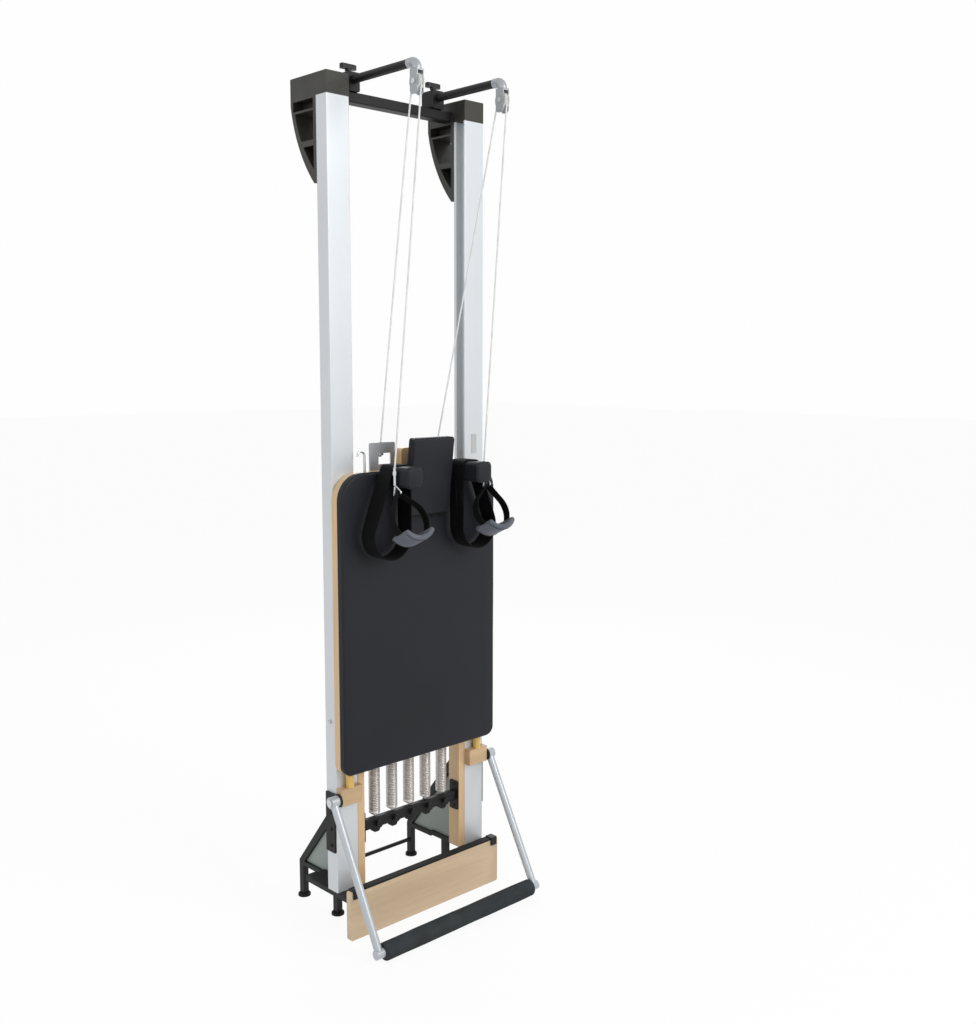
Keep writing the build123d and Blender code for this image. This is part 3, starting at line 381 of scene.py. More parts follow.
bright = plain_finish("bright_steel", (0.62, 0.63, 0.64), 0.2, metallic=1.0, drift=0.05,
                      grain_size=1200.0, depth=0.00003)
dress(bright, "pulley_axles", "wheel_axles", "storage_hook", "rope_clips", "footbar_pins")
black_moulding = plain_finish("black_moulding", (0.008, 0.008, 0.008), 0.40, drift=0.1,
                              grain_size=1100.0, depth=0.00008, shine=0.35)
dress(black_moulding, "knob_left", "knob_right")
rubber = plain_finish("black_rubber", (0.010, 0.010, 0.010), 0.72, drift=0.2, grain_size=700.0,
                      depth=0.00015, shine=0.25)
dress(rubber, "bracket_feet", "wall_bumpers", "stand_feet", "board_trim")
amber = plain_finish("amber_urethane", (0.66, 0.43, 0.10), 0.34, drift=0.08, grain_size=400.0,
                     depth=0.00004, coat=0.3)
dress(amber, "stop_bumpers")
wheel_white = plain_finish("wheel_urethane", (0.62, 0.62, 0.60), 0.35, drift=0.06)
dress(wheel_white, "wheel_left_low", "wheel_left_high", "wheel_right_low", "wheel_right_high",
      "pulley_wheel_left", "pulley_wheel_right")
sheet_grey = plain_finish("grey_sheet", (0.27, 0.31, 0.29), 0.45, drift=0.06, grain_size=1300.0,
                          depth=0.00008)
dress(sheet_grey, "stand_gussets")
silver_paint = plain_finish("silver_tube", (0.47, 0.50, 0.53), 0.36, metallic=0.35, drift=0.05,
                            grain_size=1500.0, depth=0.00006, coat=0.2)
dress(silver_paint, "footbar_arms", "footbar_core")
board_black = plain_finish("headrest_board", (0.012, 0.012, 0.013), 0.5, shine=0.3)
dress(board_black, "headrest_board")


# Upholstered pads
# The carriage pad, the headrest and the shoulder rests are closed-cell foam under a dark
# grey vinyl, pulled over the edges and stapled behind. A thin welt marks the front edge.
def vinyl(name, colour):
    """Embossed vinyl: small pebbles, a slow drift of tone and rubbed gloss."""
    material, tree, shader = new_material(name)
    place = tree.nodes.new("ShaderNodeTexCoord")
    pebbles = tree.nodes.new("ShaderNodeTexVoronoi")
    pebbles.feature = "SMOOTH_F1"
    pebbles.inputs["Scale"].default_value = 520.0
    creases = tree.nodes.new("ShaderNodeTexNoise")
    creases.inputs["Scale"].default_value = 9.0
    creases.inputs["Detail"].default_value = 3.0
    shade = placed(tree, tone, Colour=(*colour, 1.0), Size=2.2, Amount=0.16)
    gloss = placed(tree, rub, Roughness=0.52, Amount=0.22, Size=5.0)
    link = tree.links.new
    link(place.outputs["Object"], pebbles.inputs["Vector"])
    link(place.outputs["Object"], creases.inputs["Vector"])
    link(shade.outputs["Colour"], shader.inputs["Base Color"])
    link(gloss.outputs["Roughness"], shader.inputs["Roughness"])
    soft = tree.nodes.new("ShaderNodeBump")
    soft.inputs["Distance"].default_value = 0.0012
    soft.inputs["Strength"].default_value = 0.5
    fine = tree.nodes.new("ShaderNodeBump")
    fine.inputs["Distance"].default_value = 0.00012
    link(creases.outputs["Fac"], soft.inputs["Height"])
    link(soft.outputs["Normal"], fine.inputs["Normal"])
    link(pebbles.outputs["Distance"], fine.inputs["Height"])
    link(fine.outputs["Normal"], shader.inputs["Normal"])
    shader.inputs["Specular IOR Level"].default_value = 0.25
    shader.inputs["Sheen Weight"].default_value = 0.03
    return material


vinyl_grey = vinyl("grey_vinyl", (0.0090, 0.0098, 0.0140))
vinyl_welt = plain_finish("vinyl_welt", (0.0070, 0.0075, 0.0100), 0.5, grain_size=1400.0,
                          shine=0.3)


def settle(piece, material, smooth_deg=35):
    """Puts a new piece's place in its mesh, turns its faces outwards and smooths it."""
    bpy.ops.object.select_all(action="DESELECT")
    bpy.context.view_layer.objects.active = piece
    piece.select_set(True)
    bpy.ops.object.transform_apply(location=True, rotation=True, scale=True)
    bpy.ops.object.mode_set(mode="EDIT")
    bpy.ops.mesh.select_all(action="SELECT")
    bpy.ops.mesh.remove_doubles(threshold=0.00001)
    bpy.ops.mesh.normals_make_consistent(inside=False)
    bpy.ops.object.mode_set(mode="OBJECT")
    bpy.ops.object.shade_smooth_by_angle(angle=math.radians(smooth_deg))
    piece.data.materials.clear()
    piece.data.materials.append(material)
    return piece


def apply_modifier(piece, kind, **values):
    """Adds a modifier with the given settings and applies it."""
    modifier = piece.modifiers.new(kind.lower(), kind)
    for label, value in values.items():
        setattr(modifier, label, value)
    bpy.ops.object.select_all(action="DESELECT")
    bpy.context.view_layer.objects.active = piece
    piece.select_set(True)
    bpy.ops.object.modifier_apply(modifier=modifier.name)


def select_edges(piece, wanted):
    """Selects the edges whose two ends the given test accepts, in edit mode."""
    bpy.ops.object.mode_set(mode="EDIT")
    bpy.ops.mesh.select_mode(type="EDGE")
    bpy.ops.mesh.select_all(action="DESELECT")
    bpy.ops.object.mode_set(mode="OBJECT")
    mesh = piece.data
    for edge in mesh.edges:
        a, b = (mesh.vertices[i].co for i in edge.vertices)
        edge.select = wanted(a, b)
    bpy.ops.object.mode_set(mode="EDIT")


def slab(name, low, high, corners, edge, cuts=(12, 12)):
    """A padded slab between two corners whose front faces -Y. Its upright corners are
    rounded by (foot, head) radii, its front edge by edge, and its faces are cut into a
    grid for the crown."""
    size = [b - a for a, b in zip(low, high)]
    middle = [(a + b) / 2 for a, b in zip(low, high)]
    bpy.ops.object.select_all(action="DESELECT")
    bpy.ops.mesh.primitive_cube_add(size=1.0, location=middle, scale=size)
    piece = bpy.context.object
    piece.name = name
    bpy.ops.object.transform_apply(location=True, rotation=True, scale=True)
    for radius, at_head in zip(corners, (False, True)):
        level = high[2] if at_head else low[2]
        select_edges(piece, lambda a, b: abs(a.z - level) < 1e-5 and abs(b.z - level) < 1e-5
                     and abs(a.x - b.x) < 1e-5)
        bpy.ops.mesh.bevel(offset=radius, segments=10, affect="EDGES", clamp_overlap=False)
        bpy.ops.object.mode_set(mode="OBJECT")
    front = low[1]
    select_edges(piece, lambda a, b: abs(a.y - front) < 1e-5 and abs(b.y - front) < 1e-5)
    bpy.ops.mesh.bevel(offset=edge, segments=5, affect="EDGES", clamp_overlap=False)
    for axis, count in zip((0, 2), cuts):
        normal = [0, 0, 0]
        normal[axis] = 1
        for i in range(1, count):
            point = list(middle)
            point[axis] = low[axis] + size[axis] * i / count
            bpy.ops.mesh.select_all(action="SELECT")
            bpy.ops.mesh.bisect(plane_co=point, plane_no=normal)
    bpy.ops.object.mode_set(mode="OBJECT")
    return piece


def crown(piece, low, high, swell, pinch=0.0, waviness=0.0):
    """Draws the front in towards the sides by swell and pinches the middle of the side
    walls in, as stretched upholstery over foam does."""
    middle_x, half_x = (low[0] + high[0]) / 2, (high[0] - low[0]) / 2
    middle_z, half_z = (low[2] + high[2]) / 2, (high[2] - low[2]) / 2
    depth = high[1] - low[1]
    rim = 0.985
    for vertex in piece.data.vertices:
        u = (vertex.co.x - middle_x) / half_x
        v = (vertex.co.z - middle_z) / half_z
        forward = (high[1] - vertex.co.y) / depth
        fall = swell * (1 - (1 - abs(u) ** 3) * (1 - abs(v) ** 3))
        ripple = waviness * math.sin(9 * u + 2.1) * math.sin(7 * v + 0.6) * (1 - abs(u * v))
        vertex.co.y += (fall + ripple) * forward
        waist = pinch * math.sin(math.pi * min(max(forward, 0), 1))
        vertex.co.x -= waist * (abs(u) > rim) * math.copysign(1, u)
        vertex.co.z -= waist * (abs(v) > rim) * math.copysign(1, v)


def outline_xz(low, high, corners, steps=8):
    """Points round a rounded rectangle in X and Z, with (foot, head) corner radii."""
    foot, head = corners
    centres = [(high[0] - head, high[2] - head, head, 0),
               (low[0] + head, high[2] - head, head, 90),
               (low[0] + foot, low[2] + foot, foot, 180),
               (high[0] - foot, low[2] + foot, foot, 270)]
    points = []
    for x, z, radius, start in centres:
        for i in range(steps + 1):
            angle = math.radians(start + 90 * i / steps)
            points.append((x + radius * math.cos(angle), z + radius * math.sin(angle)))
    return points


def bead(name, points, radius, material, closed=True, sides=4):
    """A round bead along a row of points, made a mesh."""
    curve = bpy.data.curves.new(name, "CURVE")
    curve.dimensions = "3D"
    spline = curve.splines.new("POLY")
    spline.points.add(len(points) - 1)
    for point, place in zip(spline.points, points):
        point.co = (*place, 1.0)
    spline.use_cyclic_u = closed
    curve.bevel_depth = radius
    curve.bevel_resolution = sides
    curve.use_fill_caps = not closed
    piece = bpy.data.objects.new(name, curve)
    bpy.context.collection.objects.link(piece)
    bpy.ops.object.select_all(action="DESELECT")
    bpy.context.view_layer.objects.active = piece
    piece.select_set(True)
    bpy.ops.object.convert(target="MESH")
    return settle(bpy.context.object, material, 60)


pad_low, pad_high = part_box("deck_pad")
pad_corners = (0.028, 0.080)
pad_edge = 0.007
pad_swell = 0.0022
pad_smooth_deg = 50
deck_pad = slab("carriage_pad", pad_low, pad_high, pad_corners, pad_edge, (14, 18))
crown(deck_pad, pad_low, pad_high, pad_swell, pinch=0.0008, waviness=0.0004)
settle(deck_pad, vinyl_grey, pad_smooth_deg)
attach(deck_pad, "carriage")
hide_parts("deck_pad")

welt_radius = 0.0014
welt_inset = 0.004
welt_y = pad_low[1] + 0.0085
welt_points = [(x * (1 - welt_inset), welt_y, z)
               for x, z in outline_xz(pad_low, pad_high, pad_corners)]
pad_welt = bead("carriage_pad_welt", welt_points, welt_radius, vinyl_welt)
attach(pad_welt, "carriage")


# Headrest cushion
# The same vinyl over a thinner foam, on a black board that hinges at its foot edge. It is
# made flat and then tipped forward about the hinge, as it stands.
headrest_tilt = math.radians(7)
hinge = [j for j in frame["joints"] if j["name"] == "headrest_tilt"][0]["pos_m"]


def tip_forward(piece):
    """Turns a flat-made piece about the headrest's hinge to its place at rest."""
    about = Matrix.Translation(hinge) @ Matrix.Rotation(headrest_tilt, 4, "X")
    piece.data.transform(about @ Matrix.Translation([-c for c in hinge]))
    return piece


cushion_half = 0.080
cushion_thickness = 0.020
cushion_corners = (0.009, 0.009)
board_thickness = 0.012
board_back = hinge[1] + 0.0053
board_front = board_back - board_thickness
cushion_low = (-cushion_half, board_front - cushion_thickness, 1.250)
cushion_high = (cushion_half, board_front - 0.0002, 1.479)
cushion = slab("headrest_cushion_cover", cushion_low, cushion_high, cushion_corners, 0.006,
               (8, 10))
crown(cushion, cushion_low, cushion_high, 0.0024, pinch=0.0014)
tip_forward(cushion)
settle(cushion, vinyl_grey, pad_smooth_deg)
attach(cushion, "headrest")
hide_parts("headrest_cushion")
seam_narrowing = 0.992
seam_points = [(x * seam_narrowing, cushion_low[1] + 0.0075, z)
               for x, z in outline_xz(cushion_low, cushion_high, cushion_corners)]
cushion_welt = bead("headrest_welt", seam_points, 0.0012, vinyl_welt)
tip_forward(cushion_welt)
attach(cushion_welt, "headrest")


# Shoulder rests
# Upright foam blocks in the same vinyl, gathered at the back where they meet their steel
# brackets, with a stitched seam round the front.
block_corners = (0.014, 0.014)
for side in ("left", "right"):
    low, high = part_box("shoulder_rest_" + side)
    block = slab(f"shoulder_rest_cover_{side}", low, high, block_corners, 0.008, (6, 6))
    crown(block, low, high, 0.004, pinch=0.003)
    settle(block, vinyl_grey, pad_smooth_deg)
    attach(block, "carriage")
    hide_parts("shoulder_rest_" + side)
    middle = (low[0] + high[0]) / 2
    ring = [(middle + (x - middle) * seam_narrowing, low[1] + 0.0095, z)
            for x, z in outline_xz(low, high, block_corners)]
    seam = bead(f"shoulder_rest_seam_{side}", ring, 0.0011, vinyl_welt)
    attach(seam, "carriage")


# Foot loops
# Wide black polyester webbing, sewn into a loop that hangs over each shoulder rest and
# opens to a round belly. Three rows of stitches close the overlap on its inner run.
def webbing(name, colour):
    """Woven tape: ribs along its length, crossed by fine threads."""
    material, tree, shader = new_material(name)
    place = tree.nodes.new("ShaderNodeTexCoord")
    ribs = tree.nodes.new("ShaderNodeTexWave")
    ribs.bands_direction = "Y"
    ribs.inputs["Scale"].default_value = 130.0
    ribs.inputs["Distortion"].default_value = 0.6
    threads = tree.nodes.new("ShaderNodeTexWave")
    threads.bands_direction = "Z"
    threads.inputs["Scale"].default_value = 210.0
    threads.inputs["Distortion"].default_value = 0.8
    cloth = tree.nodes.new("ShaderNodeMath")
    cloth.operation = "MULTIPLY"
    shade = placed(tree, tone, Colour=(*colour, 1.0), Size=12.0, Amount=0.3)
    gloss = placed(tree, rub, Roughness=0.72, Amount=0.1)
    link = tree.links.new
    link(place.outputs["Object"], ribs.inputs["Vector"])
    link(place.outputs["Object"], threads.inputs["Vector"])
    link(ribs.outputs["Fac"], cloth.inputs[0])
    link(threads.outputs["Fac"], cloth.inputs[1])
    link(shade.outputs["Colour"], shader.inputs["Base Color"])
    link(gloss.outputs["Roughness"], shader.inputs["Roughness"])
    link(relief(tree, cloth.outputs[0], 0.0005), shader.inputs["Normal"])
    shader.inputs["Specular IOR Level"].default_value = 0.12
    shader.inputs["Sheen Weight"].default_value = 0.02
    return material


black_webbing = webbing("black_webbing", (0.0014, 0.0014, 0.0018))
stitching = plain_finish("grey_stitching", (0.03, 0.03, 0.034), 0.8)


def hull_round(circles, steps=56):
    """The outside of a belt round several (x, z, radius) circles, anticlockwise."""
    cloud = []
    for x, z, radius in circles:
        for i in range(steps):
            angle = 2 * math.pi * i / steps
            cloud.append((x + radius * math.cos(angle), z + radius * math.sin(angle)))
    cloud.sort()

    def chain(points):
        """One side of the belt, from the sorted points."""
        kept = []
        for point in points:
            while len(kept) > 1 and ((kept[-1][0] - kept[-2][0]) * (point[1] - kept[-2][1])
                                     <= (kept[-1][1] - kept[-2][1]) * (point[0] - kept[-2][0])):
                kept.pop()
            kept.append(point)
        return kept[:-1]

    return chain(cloud) + chain(cloud[::-1])


def even(points, closed, spacing):
    """The same path with points about the given spacing apart."""
    path = [Vector(p) for p in points]
    if closed:
        path.append(path[0])
    dense = []
    for a, b in zip(path, path[1:]):
        count = max(1, round((b - a).length / spacing))
        dense += [a.lerp(b, i / count) for i in range(count)]
    if not closed:
        dense.append(path[-1])
    return [tuple(p) for p in dense]


tape_step = 0.009


def tape(name, points, y0, y1, thickness, material, closed=True, rows=4, edge=0.0008, wave=0.0):
    """A flat tape that follows (x, z) points and is as wide as y0 to y1."""
    points = even(points, closed, tape_step)
    bpy.ops.object.select_all(action="DESELECT")
    bpy.ops.mesh.primitive_circle_add(vertices=len(points), radius=0.1)
    piece = bpy.context.object
    piece.name = name
    if not closed:
        select_edges(piece, lambda a, b: False)
        bpy.ops.object.mode_set(mode="OBJECT")
        last = len(points) - 1
        for edge_row in piece.data.edges:
            edge_row.select = set(edge_row.vertices) == {0, last}
        bpy.ops.object.mode_set(mode="EDIT")
        bpy.ops.mesh.delete(type="EDGE_FACE")
        bpy.ops.object.mode_set(mode="OBJECT")
    for vertex, (x, z) in zip(piece.data.vertices, points):
        vertex.co = (x, y0, z)
    bpy.ops.object.mode_set(mode="EDIT")
    bpy.ops.mesh.select_all(action="SELECT")
    for row in range(rows):
        bpy.ops.mesh.extrude_edges_move(
            TRANSFORM_OT_translate={"value": (0, (y1 - y0) / rows, 0)})
    bpy.ops.object.mode_set(mode="OBJECT")
    for vertex in piece.data.vertices:
        share = (vertex.co.y - y0) / (y1 - y0)
        vertex.co.y += wave * math.sin(46 * vertex.co.z + 5 * vertex.co.x) * (share - 0.5)
    apply_modifier(piece, "SOLIDIFY", thickness=thickness, offset=0.0)
    apply_modifier(piece, "BEVEL", width=edge, segments=2, limit_method="ANGLE")
    return settle(piece, material, 50)


def mirrored(points, sign):
    """The same (x, z) points on the machine's left or right."""
    return [(sign * x, z) for x, z in points]


def join_all(name, pieces):
    """Joins small like pieces into one object."""
    bpy.ops.object.select_all(action="DESELECT")
    for piece in pieces:
        piece.select_set(True)
    bpy.context.view_layer.objects.active = pieces[0]
    bpy.ops.object.join()
    pieces[0].name = name
    return pieces[0]


deck_front = pad_low[1]
loop_back = deck_front - 0.008
loop_front = loop_back - 0.060
loop_thickness = 0.0038
loop_bends = [(0.120, 1.386, 0.0165), (0.152, 1.386, 0.0165), (0.170, 1.200, 0.0675)]
stitch_x = 0.1013
stitch_foot_z = 1.262
stitch_pitch = 0.0055
stitch_length = 0.0034
stitches_a_row = 10
for side, sign in (("left", -1), ("right", 1)):
    belt = hull_round(loop_bends)
    loop = tape(f"foot_loop_tape_{side}", mirrored(belt, sign), loop_front, loop_back,
                loop_thickness, black_webbing, rows=6, wave=0.0012)
    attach(loop, "carriage")
    if side == "left":
        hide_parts("foot_loops")
    stitches = []
    for y in (loop_front + 0.006, loop_front + 0.030, loop_front + 0.054):
        for i in range(stitches_a_row):
            z = stitch_foot_z + stitch_pitch * i
            stitches.append([(sign * stitch_x, y, z), (sign * stitch_x, y, z + stitch_length)])
    rows = join_all(f"foot_loop_stitching_{side}",
                    [bead(f"foot_loop_stitch_{side}_{i}", row, 0.0005, stitching,
                          closed=False, sides=1) for i, row in enumerate(stitches)])
    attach(rows, "carriage")


# Hand loops and their padded grips
# Narrow black webbing hangs from each rope clip's ring, with a thick, soft neoprene sleeve
# sewn round its bottom for the hand. Both are made upright and then leaned forward.
hand_lean = math.radians(25)
clip_foot_z = 1.350
ring_drop = 0.030
rope_foot_x = 0.1745
rope_foot_y = -0.16125
belly_shift = 0.014
belly_drop = 0.080
belly_radius = 0.062
neck_radius = 0.0058
hand_tape_thickness = 0.003
hand_tape_half = 0.0125
grip_half = 0.037
grip_wall = 0.006
grip_turn = math.radians(54)
grip_steps = 24


def lean(piece, sign):
    """Moves an upright-made loop from the origin to its ring and leans it forward."""
    ring = (sign * rope_foot_x, rope_foot_y - math.sin(hand_lean) * ring_drop,
            clip_foot_z - math.cos(hand_lean) * ring_drop)
    piece.data.transform(Matrix.Translation(ring) @ Matrix.Rotation(-hand_lean, 4, "X"))
    return piece


neoprene = plain_finish("neoprene", (0.100, 0.110, 0.135), 0.62, drift=0.2, drift_size=20.0,
                        grain_size=1300.0, depth=0.0002, sheen=0.15, shine=0.35)
for side, sign in (("left", -1), ("right", 1)):
    path = hull_round([(0, 0, neck_radius - hand_tape_thickness / 2),
                       (-belly_shift, -belly_drop, belly_radius - hand_tape_thickness / 2)])
    loop = tape(f"hand_loop_tape_{side}", mirrored(path, sign), -hand_tape_half, hand_tape_half,
                hand_tape_thickness * 0.95, black_webbing, rows=4, wave=0.0008)
    lean(loop, sign)
    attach(loop, "carriage")
    if side == "left":
        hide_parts("hand_loops")
    inner, outer = belly_radius - hand_tape_thickness - grip_wall, belly_radius + grip_wall
    middle = (inner + outer) / 2
    arc = []
    for i in range(grip_steps + 1):
        angle = -grip_turn + 2 * grip_turn * i / grip_steps
        arc.append((-belly_shift + middle * math.sin(angle),
                    -belly_drop - middle * math.cos(angle)))
    grip = tape(f"hand_grip_sleeve_{side}", mirrored(arc, sign), -grip_half, grip_half,
                (outer - inner) * 0.96, neoprene, closed=False, rows=8, edge=0.005)
    apply_modifier(grip, "SUBSURF", levels=1, render_levels=1)
    for vertex in grip.data.vertices:
        share = abs(vertex.co.y) / grip_half
        centre = Vector((-sign * belly_shift, vertex.co.y, -belly_drop))
        arm = vertex.co - centre
        vertex.co = centre + arm * (1 - 0.035 * max(0.0, share - 0.55))
    lean(grip, sign)
    settle(grip, neoprene, 60)
    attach(grip, "carriage")
    if side == "left":
        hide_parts("hand_grips")
    hem_radius = outer + 0.0002
    hem_angles = [-grip_turn * 0.95 + 1.9 * grip_turn * i / grip_steps
                  for i in range(grip_steps + 1)]
    hem_line = mirrored([(-belly_shift + hem_radius * math.sin(a),
                          -belly_drop - hem_radius * math.cos(a)) for a in hem_angles], sign)
    for number, y in enumerate((-grip_half * 0.82, grip_half * 0.82)):
        hem = [(x, y, z) for x, z in hem_line]
        line = bead(f"hand_grip_hem_{side}_{number}", hem, 0.0007, stitching, closed=False)
        lean(line, sign)
        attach(line, "carriage")


# Foot bar grip
# A long sleeve of black closed-cell foam, slipped over the bar between its two arms. It
# is slightly uneven along its length where feet have pressed it.
foam = plain_finish("black_foam", (0.032, 0.037, 0.040), 0.8, drift=0.25, drift_size=16.0,
                    rubbing=0.15, grain_size=1600.0, depth=0.0004, shine=0.3)
foam_low, foam_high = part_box("footbar_foam")
foam_radius = (foam_high[2] - foam_low[2]) / 2
foam_axis = ((foam_low[0] + foam_high[0]) / 2, (foam_low[1] + foam_high[1]) / 2,
             (foam_low[2] + foam_high[2]) / 2)
foam_length = foam_high[0] - foam_low[0]
tube_radius = 0.0128
foam_cuts = 30
bpy.ops.object.select_all(action="DESELECT")
bpy.ops.mesh.primitive_cylinder_add(vertices=64, radius=foam_radius, depth=foam_length,
                                    location=foam_axis, rotation=(0, math.pi / 2, 0))
sleeve = bpy.context.object
sleeve.name = "foot_bar_sleeve"
bpy.ops.object.transform_apply(location=True, rotation=True, scale=True)
for end in (-1, 1):
    face_x = end * foam_length / 2
    bpy.ops.object.mode_set(mode="EDIT")
    bpy.ops.mesh.select_mode(type="FACE")
    bpy.ops.mesh.select_all(action="DESELECT")
    bpy.ops.object.mode_set(mode="OBJECT")
    for polygon in sleeve.data.polygons:
        polygon.select = abs(polygon.center.x - face_x) < 0.001
    bpy.ops.object.mode_set(mode="EDIT")
    bpy.ops.mesh.inset(thickness=foam_radius - tube_radius, depth=0)
    bpy.ops.mesh.extrude_region_move(TRANSFORM_OT_translate={"value": (-end * 0.012, 0, 0)})
    bpy.ops.object.mode_set(mode="OBJECT")
select_edges(sleeve, lambda a, b: abs(abs(a.x) - foam_length / 2) < 1e-5
             and abs(abs(b.x) - foam_length / 2) < 1e-5
             and math.hypot(a.y - foam_axis[1], a.z - foam_axis[2]) > foam_radius * 0.98
             and math.hypot(b.y - foam_axis[1], b.z - foam_axis[2]) > foam_radius * 0.98)
bpy.ops.mesh.bevel(offset=0.006, segments=5, affect="EDGES")
for i in range(1, foam_cuts):
    bpy.ops.mesh.select_all(action="SELECT")
    bpy.ops.mesh.bisect(plane_co=(-foam_length / 2 + foam_length * i / foam_cuts, 0, 0),
                        plane_no=(1, 0, 0))
bpy.ops.object.mode_set(mode="OBJECT")
for vertex in sleeve.data.vertices:
    x = vertex.co.x
    press = 0.0006 * (0.5 + 0.5 * math.sin(21 * x + 1.1)) + 0.0004 * (0.5 + 0.5 * math.sin(47 * x))
    arm = Vector((0, vertex.co.y - foam_axis[1], vertex.co.z - foam_axis[2]))
    if arm.length > 0.02:
        vertex.co -= arm.normalized() * press
settle(sleeve, foam, 40)
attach(sleeve, "foot_bar")
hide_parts("footbar_foam")


# Springs
# Five close-wound steel springs hang between the gear bar and the carriage's spring bar.
# Their ends draw in to a straight shank on the axis.
spring_steel = plain_finish("spring_steel", (0.56, 0.53, 0.51), 0.38, metallic=0.75, drift=0.08,
                            grain_size=900.0, depth=0.00004)
spring_low, spring_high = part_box("springs")
spring_count = 5
spring_pitch = 0.068
rail_middle_y = -0.02725
spring_y = rail_middle_y + 0.025
spring_radius = 0.0160
spring_wire = 0.0021
spring_turns = 58
points_a_turn = 14
shank = 0.006


def spring_points(x):
    """A close-wound coil with its wire drawn in to the axis at both ends."""
    foot, head = spring_low[2] + shank, spring_high[2] - shank
    points = [(x, spring_y, spring_low[2]), (x, spring_y, foot - 0.003)]
    total = spring_turns * points_a_turn
    for i in range(total + 1):
        turn = i / points_a_turn
        end = min(turn, spring_turns - turn)
        radius = spring_radius * min(1.0, 0.15 + end / 1.2)
        angle = 2 * math.pi * turn
        points.append((x + radius * math.cos(angle), spring_y + radius * math.sin(angle),
                       foot + (head - foot) * i / total))
    points += [(x, spring_y, head + 0.003), (x, spring_y, spring_high[2])]
    return points


for number in range(spring_count):
    x = (number - (spring_count - 1) / 2) * spring_pitch
    coil = bead(f"spring_{number + 1}", spring_points(x), spring_wire, spring_steel,
                closed=False, sides=1)
    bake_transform(coil)
    if number == 0:
        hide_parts("springs")


# Ropes
# A white braided rope on each side runs from its cleat on the deck up to the pulley, over
# it and down to the clip of the loops. Each is made as a stretch behind, a wrap over the
# pulley and a stretch in front, because the stretches shorten as the carriage rises.
rope_radius = 0.0025
pulley_centre = (0.160, -0.24925, 2.438)
wrap_radius = 0.0190
cleat_point = (0.111, rail_middle_y + 0.011, 1.445)
clip_point = (0.1745, rail_middle_y - 0.134, 1.400)
knee_drop = 0.066


def rope_finish():
    """White polyester with the slanting ribs of a braid."""
    material, tree, shader = new_material("braided_rope")
    place = tree.nodes.new("ShaderNodeTexCoord")
    braid = tree.nodes.new("ShaderNodeTexWave")
    braid.bands_direction = "DIAGONAL"
    braid.inputs["Scale"].default_value = 160.0
    braid.inputs["Distortion"].default_value = 1.2
    shade = placed(tree, tone, Colour=(0.78, 0.79, 0.78, 1.0), Size=30.0, Amount=0.12)
    gloss = placed(tree, rub, Roughness=0.7, Amount=0.1)
    link = tree.links.new
    link(place.outputs["Object"], braid.inputs["Vector"])
    link(shade.outputs["Colour"], shader.inputs["Base Color"])
    link(gloss.outputs["Roughness"], shader.inputs["Roughness"])
    link(relief(tree, braid.outputs["Fac"], 0.0006), shader.inputs["Normal"])
    return material


white_rope = rope_finish()


def rope_piece(name, route):
    """A mesh tube on a smooth line through the route, and the points that it follows."""
    curve = bpy.data.curves.new(name, "CURVE")
    curve.dimensions = "3D"
    curve.resolution_u = 12
    spline = curve.splines.new("NURBS")
    spline.points.add(len(route) - 1)
    for point, place in zip(spline.points, route):
        point.co = (*place, 1.0)
    spline.order_u = 3
    spline.use_endpoint_u = True
    piece = bpy.data.objects.new(name, curve)
    bpy.context.collection.objects.link(piece)
    line = bpy.data.meshes.new_from_object(piece)
    path = [tuple(v.co) for v in line.vertices]
    curve.bevel_depth = rope_radius
    curve.bevel_resolution = 3
    curve.use_fill_caps = True
    bpy.ops.object.select_all(action="DESELECT")
    bpy.context.view_layer.objects.active = piece
    piece.select_set(True)
    bpy.ops.object.convert(target="MESH")
    piece = settle(bpy.context.object, white_rope, 60)
    return piece, path


for side, sign in (("left", -1), ("right", 1)):
    px, py, pz = sign * pulley_centre[0], pulley_centre[1], pulley_centre[2]
    behind_lean = math.atan2(cleat_point[1] - py - wrap_radius, pz - cleat_point[2])
    front_lean = math.atan2(clip_point[1] - py + wrap_radius, pz - clip_point[2])
    behind_y = py + wrap_radius / math.cos(behind_lean)
    front_y = py - wrap_radius / math.cos(front_lean)
    behind = [(sign * cleat_point[0], cleat_point[1], cleat_point[2]),
              (px, behind_y + knee_drop * math.tan(behind_lean), pz - knee_drop),
              (px, behind_y, pz)]
    over = [(px, behind_y, pz), (px, behind_y - 0.0006, pz + wrap_radius),
            (px, front_y + 0.0006, pz + wrap_radius), (px, front_y, pz)]
    ahead = [(px, front_y, pz), (px, front_y + knee_drop * math.tan(front_lean), pz - knee_drop),
             (sign * clip_point[0], clip_point[1], clip_point[2])]
    stretches = (("behind", behind, cleat_point[2]), ("over", over, None),
                 ("front", ahead, clip_point[2]))
    for label, route, foot in stretches:
        piece, path = rope_piece(f"rope_{label}_{side}", route)
        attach(piece, "frame")
        if label == "behind":
            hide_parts("rope_" + side)
        if foot:
            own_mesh(piece)


# Screws
# Blackened socket cap screws hold the gear bar's plates to the rail boards, the foot bar's
# plates to the rails, the chassis angles to the deck and the cleats to its back.
black_screw = plain_finish("blackened_steel", (0.030, 0.030, 0.032), 0.4, metallic=0.7,
                           grain_size=1200.0, depth=0.00003)
screw_radius = 0.0048
screw_height = 0.0028
socket_inset = 0.0022
socket_depth = 0.0020


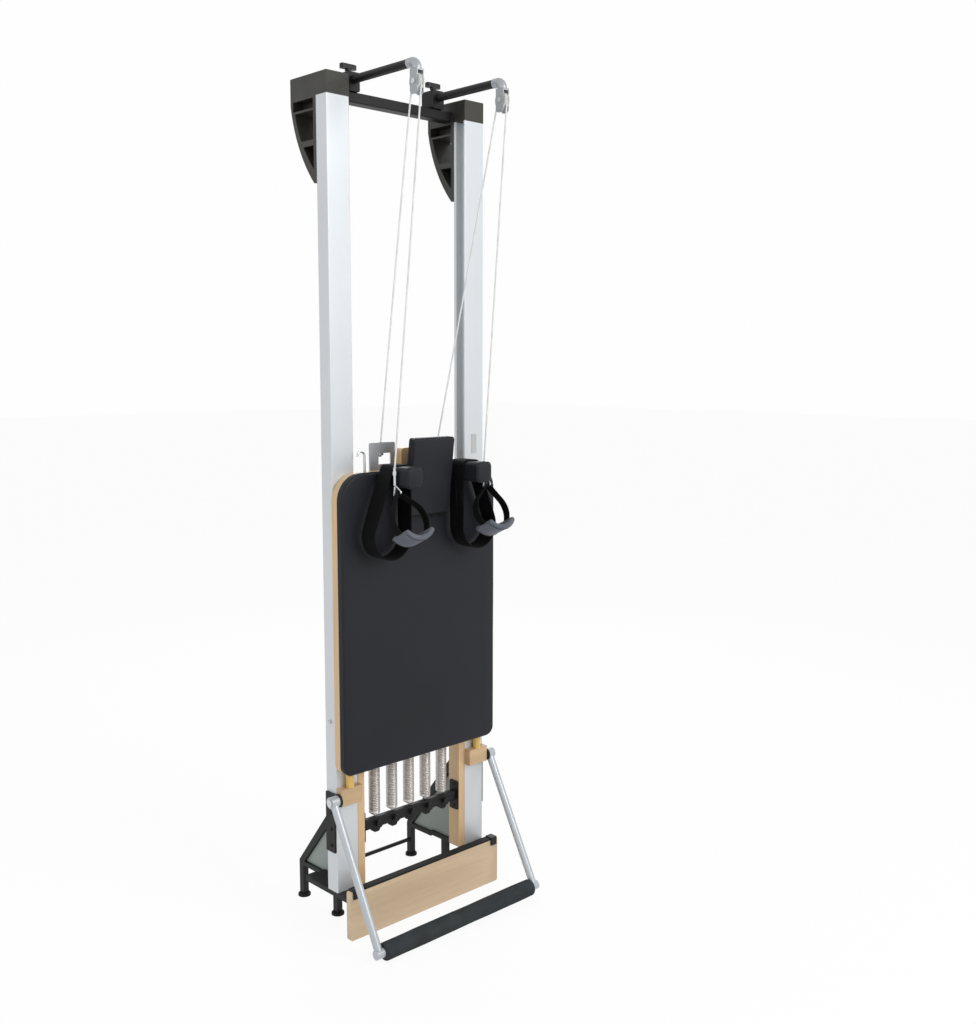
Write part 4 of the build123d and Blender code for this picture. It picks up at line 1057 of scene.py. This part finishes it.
def socket_screw(name, seat, facing):
    """A screw head that stands on a seat and faces along the given axis."""
    facing = Vector(facing)
    middle = Vector(seat) + facing * screw_height / 2
    bpy.ops.object.select_all(action="DESELECT")
    bpy.ops.mesh.primitive_cylinder_add(vertices=24, radius=screw_radius, depth=screw_height,
                                        location=middle,
                                        rotation=facing.to_track_quat("Z", "Y").to_euler())
    head = bpy.context.object
    head.name = name
    bpy.ops.object.transform_apply(location=True, rotation=True, scale=True)
    bpy.ops.object.mode_set(mode="EDIT")
    bpy.ops.mesh.select_mode(type="FACE")
    bpy.ops.mesh.select_all(action="DESELECT")
    bpy.ops.object.mode_set(mode="OBJECT")
    for polygon in head.data.polygons:
        polygon.select = polygon.normal.dot(facing) > 0.9
    bpy.ops.object.mode_set(mode="EDIT")
    bpy.ops.mesh.inset(thickness=socket_inset, depth=0)
    bpy.ops.mesh.extrude_region_move(
        TRANSFORM_OT_translate={"value": -facing * socket_depth})
    bpy.ops.object.mode_set(mode="OBJECT")
    apply_modifier(head, "BEVEL", width=0.0005, segments=2, limit_method="ANGLE")
    return settle(head, black_screw, 40)


plate_low, plate_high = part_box("gear_plates")
mount_low, mount_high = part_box("footbar_plates")
angle_low, angle_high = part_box("chassis_angles")
cleat_low, cleat_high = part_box("rope_cleats")
plate_y = (plate_low[1] + plate_high[1]) / 2
plate_x = plate_high[0] - 0.004
mount_y = mount_high[1] - 0.025
angle_x = angle_high[0] - 0.020
angle_y = deck_front + 0.056
cleat_back = cleat_low[1] + 0.005
frame_seats = []
carriage_seats = []
for sign in (-1, 1):
    for z in (plate_low[2] + 0.012, plate_high[2] - 0.012):
        frame_seats.append(((sign * plate_x, plate_y, z), (-sign, 0, 0)))
    for rise in (0.020, 0.070, 0.120):
        frame_seats.append(((sign * mount_high[0], mount_y, mount_low[2] + rise), (sign, 0, 0)))
    for i in range(6):
        z = angle_low[2] + 0.030 + (angle_high[2] - angle_low[2] - 0.060) * i / 5
        carriage_seats.append(((sign * angle_x, angle_y, z), (0, 1, 0)))
    for x in (cleat_high[0] - 0.078, cleat_high[0] - 0.016):
        carriage_seats.append(((sign * x, cleat_back, cleat_low[2] + 0.014), (0, 1, 0)))
for body, seats in (("frame", frame_seats), ("carriage", carriage_seats)):
    heads = join_all(f"{body}_screws", [socket_screw(f"{body}_screw_{i}", seat, facing)
                                        for i, (seat, facing) in enumerate(seats)])
    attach(heads, body)
